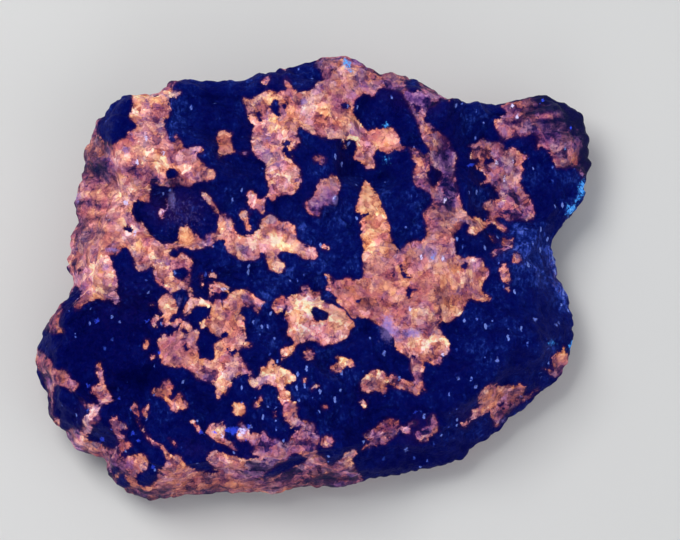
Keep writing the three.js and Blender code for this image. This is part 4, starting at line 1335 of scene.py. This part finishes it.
@dataclass(frozen=True)
class SphaleriteFinish:
    """The fluorescent sphalerite: tan and salmon to cream grains, plum where it is thin or shaded; its glow
    is painted.
    """

    roughness: float = 0.55
    # Painted glow: emission in the patches' own colour, which flattens their shading.
    painted_glow: float = 0.42
    share: float = 0.9
    ior: float = 1.6
    specular: float = 0.16
    sheen: Colour = linear(120, 120, 255)
    tan: tuple[Stop, ...] = (
        (0.05, 24, 10, 58), (0.24, 78, 35, 66), (0.39, 142, 72, 70), (0.5, 178, 98, 84),
        (0.59, 202, 117, 94), (0.7, 224, 142, 110), (0.81, 249, 175, 141), (0.91, 255, 205, 168),
        (1.0, 255, 243, 212),
    )
    plum: tuple[Stop, ...] = (
        (0.05, 10, 12, 62), (0.24, 54, 36, 90), (0.39, 100, 70, 126), (0.5, 132, 97, 146),
        (0.59, 154, 117, 160), (0.7, 182, 141, 176), (0.81, 212, 167, 192), (0.91, 234, 192, 210),
        (1.0, 252, 240, 244),
    )
    pink: Colour = (1.0, 0.78, 1.0)
    olive: Colour = (0.97, 1.0, 0.64)
    olive_most: float = 0.85
    layer_stretch: Place = (0.07, 1.0, 0.75)
    layer_lines: Cloud = Cloud(1.0, 3.0, 0.6, 0.25)
    blotch_cloud: Cloud = Cloud(0.2, 4.0, 0.6)
    crumb_cloud: Cloud = Cloud(1.5, 4.0, 0.7)
    seam_cloud: Cloud = Cloud(0.42, 3.0, 0.6, 0.8)
    pit_cloud: Cloud = Cloud(0.75)
    plate_mosaic: Mosaic = Mosaic(0.28, 1.0)
    leaf_mosaic: Mosaic = Mosaic(0.5, 0.5)
    seam_width: float = 0.022
    pit_edge: tuple[float, float] = (0.2, 0.26)
    dark_rim: tuple[float, float] = (0.4, 0.0)
    tan_rim: tuple[float, float] = (0.8, 0.1)
    mean_tone: float = 0.6
    mean_hue: float = 0.71
    mean_green: float = 0.52
    hue_power: float = 2.0
    calm: float = 0.65

    def shader(self, bench: NodeBench, depth: Value, grain: Cells, flake: Cells) -> bpy.types.NodeSocket:
        """Builds the sphalerite's shader.

        Args:
            bench: the material's bench.
            depth: millimetres inside the patch's edge.
            grain: the grains.
            flake: the smaller flakes.

        Returns:
            The shader's output.
        """
        # Brightness of the patches: their own tone, with painted light and shade.
        painted_light_and_tone = bench.attribute("painted_light_and_tone")
        layered = bench.attribute("layered")
        tint = bench.attribute("tint")
        lines = bench.noise(self.layer_lines, bench.stretched(self.layer_stretch)) * layered.larger(0.0)
        blotches = bench.noise(self.blotch_cloud)
        crumbs = bench.noise(self.crumb_cloud)
        plates = bench.cells(self.plate_mosaic)
        leaves = bench.cells(self.leaf_mosaic)
        seams = bench.noise(self.seam_cloud).size().step(self.seam_width, 0.0)
        pits = (bench.noise(self.pit_cloud) - blotches * 0.3).step(*self.pit_edge)
        mottled = 1 - layered.size() * self.calm
        mottling = plates.level * 0.33 + leaves.level * 0.3 + grain.level * 0.2 + flake.level * 0.27
        shading = plates.shade * 0.45 + leaves.shade * 0.5 + grain.shade * 0.4 + flake.shade * 0.3
        tone = (
            self.mean_tone
            + painted_light_and_tone * 0.4
            + blotches * 0.2
            + (mottling + crumbs * 0.36) * mottled
            + lines * 1.3
            - seams * 0.17
            - pits * 0.3
            - depth.step(*self.dark_rim) * 0.14
        )
        change = tint - painted_light_and_tone * 0.25 + blotches * 0.6 + (shading - crumbs * 0.5) * mottled
        hue = self.mean_hue + change * 0.65 - depth.step(*self.tan_rim) * 0.1
        hue = hue.larger(0.0) ** self.hue_power
        speckled = plates.tint * 0.5 + leaves.tint * 0.5 + grain.tint * 0.4
        green = self.mean_green + blotches * 0.9 + speckled - tint * 0.8
        tan, plum = (bench.ramp(tone, toned(stops, self.share)) for stops in (self.tan, self.plum))
        colour = bench.mix(hue.smaller(1.0), tan, plum)
        cast = bench.mix(green.smaller(self.olive_most).larger(0.0), self.pink, self.olive)
        colour = bench.mix(1.0, colour, cast, "MULTIPLY")
        colour = Specks().over(bench, colour, crumbs, self.share)
        height = crumbs * 0.14 + grain.level * 0.14 + flake.level * 0.07 + leaves.level * 0.12
        height = height * mottled + lines * 0.3 - seams * 0.08
        return bench.node("ShaderNodeBsdfPrincipled", None, {
            "Base Color": colour,
            "Roughness": self.roughness + crumbs * 0.4,
            "IOR": self.ior,
            "Specular IOR Level": self.specular,
            "Specular Tint": (*self.sheen, 1.0),
            "Emission Color": colour,
            "Emission Strength": self.painted_glow,
            "Normal": bench.bump(height),
        }).outputs["BSDF"]


@dataclass(frozen=True)
class Kind:
    """One kind of speck: its marking, how ragged it is, where it starts and is full, and its cover."""

    marking: str
    ragged: float
    start: float
    full: float
    cover: float
    colour: Colour


@dataclass(frozen=True)
class Specks:
    """The lilac and blue grains, and the white painted glints, that lie over both parts of the ore."""

    lilac: Colour = linear(146, 124, 200)
    pale_blue: Colour = linear(70, 160, 248)
    deep_blue: Colour = linear(60, 86, 255)
    glint_white: Colour = linear(220, 208, 255)
    ice: Colour = linear(200, 228, 255)

    def over(self, bench: NodeBench, colour: bpy.types.NodeSocket, crumbs: Value,
             share: float) -> bpy.types.NodeSocket:
        """Lays the grains and the painted glints over a colour, each kind where its marking and the crumbs
        together are high.

        Args:
            bench: the material's bench.
            colour: what is under them.
            crumbs: fine noise, 0 on average.
            share: how much the colours are darkened.

        Returns:
            The colour with the grains on it.
        """
        kinds = (
            Kind("violet", 1.6, 0.3, 0.9, 0.8, self.lilac),
            Kind("cyan", 2.4, 0.4, 0.85, 0.95, self.pale_blue),
            Kind("cyan", 4.0, 1.0, 1.5, 0.9, self.ice),
            Kind("blue", 1.6, 0.5, 0.8, 1.0, self.deep_blue),
            # Painted glints: white highlights.
            Kind("glint", 2.0, 0.45, 0.8, 1.0, self.glint_white),
        )
        for kind in kinds:
            shown = (bench.attribute(kind.marking) + crumbs * kind.ragged).step(kind.start, kind.full)
            colour = bench.mix(shown * kind.cover, colour, tuple(part * share for part in kind.colour))
        return colour


@dataclass(frozen=True)
class MatrixFinish:
    """The dark matrix: granular blue-black with faint blue grains and painted white glints; only the pale
    blue grains glow, a painted glow.
    """

    roughness: float = 0.5
    metal: float = 0.3
    painted_glow: float = 0.5
    share: float = 1.6
    dark: Colour = (0.0, 0.0, 0.0)
    ior: float = 1.5
    specular: float = 0.1
    sheen: Colour = linear(90, 110, 255)
    navy: tuple[Stop, ...] = (
        (0.0, 0, 2, 62), (0.25, 2, 6, 76), (0.45, 5, 14, 88), (0.6, 12, 28, 104), (0.75, 30, 50, 132),
        (0.88, 56, 78, 184), (1.0, 112, 132, 236),
    )
    rust: Colour = linear(96, 42, 78)
    specks: Specks = Specks(glint_white=linear(128, 150, 255))
    broad_cloud: Cloud = Cloud(0.16, 3.0, 0.6)
    crumb_cloud: Cloud = Cloud(1.5, 5.0, 0.7)
    upright_cloud: Cloud = Cloud(1.0)
    upright_stretch: Place = (1.7, 1.0, 1.0)
    glint_mosaic: Mosaic = Mosaic(0.7, 0.3, (1.0, 0.45, 0.7))
    glint_edge: tuple[float, float] = (0.26, 0.12)
    glint_share: tuple[float, float] = (0.0, 0.45)
    strand_edge: tuple[float, float] = (0.06, 0.24)
    dark_rim: tuple[float, float] = (-1.0, -0.1)
    rust_rim: tuple[float, float] = (-0.55, 0.0)
    glow_edge: tuple[float, float] = (0.3, 0.7)
    mean_tone: float = 0.37

    def shader(self, bench: NodeBench, depth: Value, grain: Cells, flake: Cells) -> bpy.types.NodeSocket:
        """Builds the matrix's shader.

        Args:
            bench: the material's bench.
            depth: millimetres inside the nearest patch's edge, below 0 out here.
            grain: the grains.
            flake: the smaller flakes.

        Returns:
            The shader's output.
        """
        # Painted light and sheen on the matrix, with its own darker and lighter tone.
        painted_sheen_and_tone = bench.attribute("painted_sheen_and_tone")
        broad = bench.noise(self.broad_cloud)
        crumbs = bench.noise(self.crumb_cloud)
        upright = bench.noise(self.upright_cloud, bench.stretched(self.upright_stretch))
        # Painted glints: small bright dots where light catches tiny crystal faces.
        glint_cells = bench.cells(self.glint_mosaic)
        painted_glint = glint_cells.reach.step(*self.glint_edge) * (broad * 1.2 + glint_cells.level).step(*self.glint_share)
        strands = (upright + broad * 0.8 + painted_sheen_and_tone * 0.1).step(*self.strand_edge)
        tone = (
            self.mean_tone
            + painted_sheen_and_tone * 0.26
            + broad * 0.4
            + crumbs * 0.45
            + grain.level * 0.16
            + flake.level * 0.16
            + strands * 0.2
            + painted_glint * 0.8
            - depth.step(*self.dark_rim) * 0.1
        )
        colour = bench.ramp(tone, toned(self.navy, self.share))
        rusty = (bench.attribute("tint") + crumbs).larger(0.0).smaller(1.0)
        colour = bench.mix(depth.step(*self.rust_rim) * 0.25 + rusty * 0.2, colour, self.rust)
        colour = self.specks.over(bench, colour, crumbs, 1.0)
        height = crumbs * 0.6 + grain.level * 0.2 + upright * 0.3
        # Painted glow of the pale blue grains.
        glowing = (bench.attribute("cyan") + crumbs).step(*self.glow_edge)
        return bench.node("ShaderNodeBsdfPrincipled", None, {
            "Base Color": colour,
            "Roughness": self.roughness - crumbs * 0.4,
            "Metallic": self.metal,
            "IOR": self.ior,
            "Specular IOR Level": self.specular,
            "Specular Tint": (*self.sheen, 1.0),
            "Emission Color": bench.mix(glowing, self.dark, colour),
            "Emission Strength": self.painted_glow,
            "Normal": bench.bump(height),
        }).outputs["BSDF"]


@dataclass(frozen=True)
class OreFinish:
    """Patches of sphalerite in the dark matrix, ragged where they meet."""

    sphalerite: SphaleriteFinish = SphaleriteFinish()
    matrix: MatrixFinish = MatrixFinish()
    grain_mosaic: Mosaic = Mosaic(0.62, 0.8)
    flake_mosaic: Mosaic = Mosaic(1.1, 0.35)
    edge_cloud: Cloud = Cloud(1.0, 4.0, 0.7)
    vein_cloud: Cloud = Cloud(0.085, 5.0, 0.62, 0.5)
    vein_bias: float = 0.01
    vein_depth: float = 26.0
    edge_blur: float = 0.06

    def material(self) -> bpy.types.Material:
        """Builds the material: the two shaders, mixed by the patches' edge."""
        bench = NodeBench("sphalerite_ore")
        grain = bench.cells(self.grain_mosaic)
        flake = bench.cells(self.flake_mosaic)
        wander = bench.noise(self.edge_cloud) * 0.75 + grain.level * 0.22 + flake.level * 0.3
        drawn = bench.attribute("patch") + wander
        veins = (bench.noise(self.vein_cloud) + self.vein_bias) * self.vein_depth
        unseen = bench.attribute("unseen")
        depth = drawn * (1 - unseen) + veins * unseen
        mixed = bench.node("ShaderNodeMixShader", None, {
            0: depth.step(-self.edge_blur, self.edge_blur),
            1: self.matrix.shader(bench, depth, grain, flake),
            2: self.sphalerite.shader(bench, depth, grain, flake),
        })
        bench.node("ShaderNodeOutputMaterial", None, {"Surface": mixed.outputs["Shader"]})
        return bench.material


@dataclass(frozen=True)
class Lamp:
    """A soft square light: its name, place in metres, side, watts and colour."""

    name: str
    place: Place
    size: float
    power: float
    tint: Colour


@dataclass(frozen=True)
class Studio:
    """A pale floor, soft lights and the camera at the picture's angle."""

    plane: ViewPlane = ViewPlane()
    clip: tuple[float, float] = (0.05, 20.0)
    floor_reach: float = 1.6
    floor_colour: Colour = (0.78, 0.78, 0.77)
    floor_shade: float = 0.97
    floor_roughness: float = 0.85
    world_colour: Colour = (0.9, 0.93, 1.0)
    world_strength: float = 0.35
    aim: Place = (0.0, 0.0, 0.015)
    lamps: tuple[Lamp, ...] = (
        Lamp("key", (-0.35, 0.25, 0.75), 0.5, 4.2, (1.0, 0.99, 0.97)),
        Lamp("fill", (0.6, -0.3, 0.6), 0.6, 1.1, (0.97, 0.98, 1.0)),
        Lamp("front", (0.0, -0.8, 0.5), 0.6, 1.1, (1.0, 1.0, 1.0)),
    )

    def floor(self) -> None:
        """Lays the floor, a plain square on the table's level."""
        reach = self.floor_reach
        mesh = bpy.data.meshes.new("floor")
        corners = [(-reach, -reach, 0), (reach, -reach, 0), (reach, reach, 0), (-reach, reach, 0)]
        mesh.from_pydata(corners, [], [(0, 1, 2, 3)])
        bench = NodeBench("pale_floor")
        shaded = tuple(part * self.floor_shade for part in self.floor_colour)
        colour = bench.mix(bench.noise(Cloud(0.02)) + 0.5, self.floor_colour, shaded)
        sockets = {"Base Color": colour, "Roughness": self.floor_roughness}
        shader = bench.node("ShaderNodeBsdfPrincipled", None, sockets)
        bench.node("ShaderNodeOutputMaterial", None, {"Surface": shader.outputs["BSDF"]})
        mesh.materials.append(bench.material)
        floor = bpy.data.objects.new("floor", mesh)
        bpy.context.scene.collection.objects.link(floor)

    def hang(self, lamp: Lamp) -> None:
        """Hangs a lamp that faces the specimen."""
        light = bpy.data.lights.new(lamp.name, "AREA")
        light.size, light.energy, light.color = lamp.size, lamp.power, lamp.tint
        holder = bpy.data.objects.new(lamp.name, light)
        holder.location = lamp.place
        holder.rotation_mode = "QUATERNION"
        holder.rotation_quaternion = (Vector(lamp.place) - Vector(self.aim)).to_track_quat("Z", "Y")
        bpy.context.scene.collection.objects.link(holder)

    def surroundings(self) -> None:
        """Lights the specimen a little from all sides."""
        world = bpy.data.worlds.new("surroundings")
        world.use_nodes = True
        background = world.node_tree.nodes["Background"]
        background.inputs["Color"].default_value = (*self.world_colour, 1.0)
        background.inputs["Strength"].default_value = self.world_strength
        bpy.context.scene.world = world

    def camera(self) -> None:
        """Sets the camera on the view plane's axis, with its lens and distance."""
        plane = self.plane
        lens = bpy.data.cameras.new("camera")
        lens.lens = plane.lens
        lens.sensor_width = plane.sensor
        lens.clip_start, lens.clip_end = self.clip
        holder = bpy.data.objects.new("camera", lens)
        back = Vector(plane.back)
        holder.location = (Vector(plane.target) + back * plane.distance) * METRES
        holder.rotation_mode = "QUATERNION"
        holder.rotation_quaternion = back.to_track_quat("Z", "Y")
        bpy.context.scene.collection.objects.link(holder)
        bpy.context.scene.camera = holder

    def build(self) -> None:
        """Makes the camera, the lights and the floor."""
        self.camera()
        for lamp in self.lamps:
            self.hang(lamp)
        self.surroundings()
        self.floor()
        bpy.context.scene.view_settings.view_transform = "Standard"
        log.info("studio: camera %.0f mm away", self.plane.distance)


def main() -> None:
    """Builds the studio, then the specimen's skin."""
    logging.basicConfig(level=logging.INFO, format="%(name)s %(message)s")
    Studio().build()
    skin = OreSkin()
    skin.build()
    skin.dress()


if __name__ == "__main__":
    main()
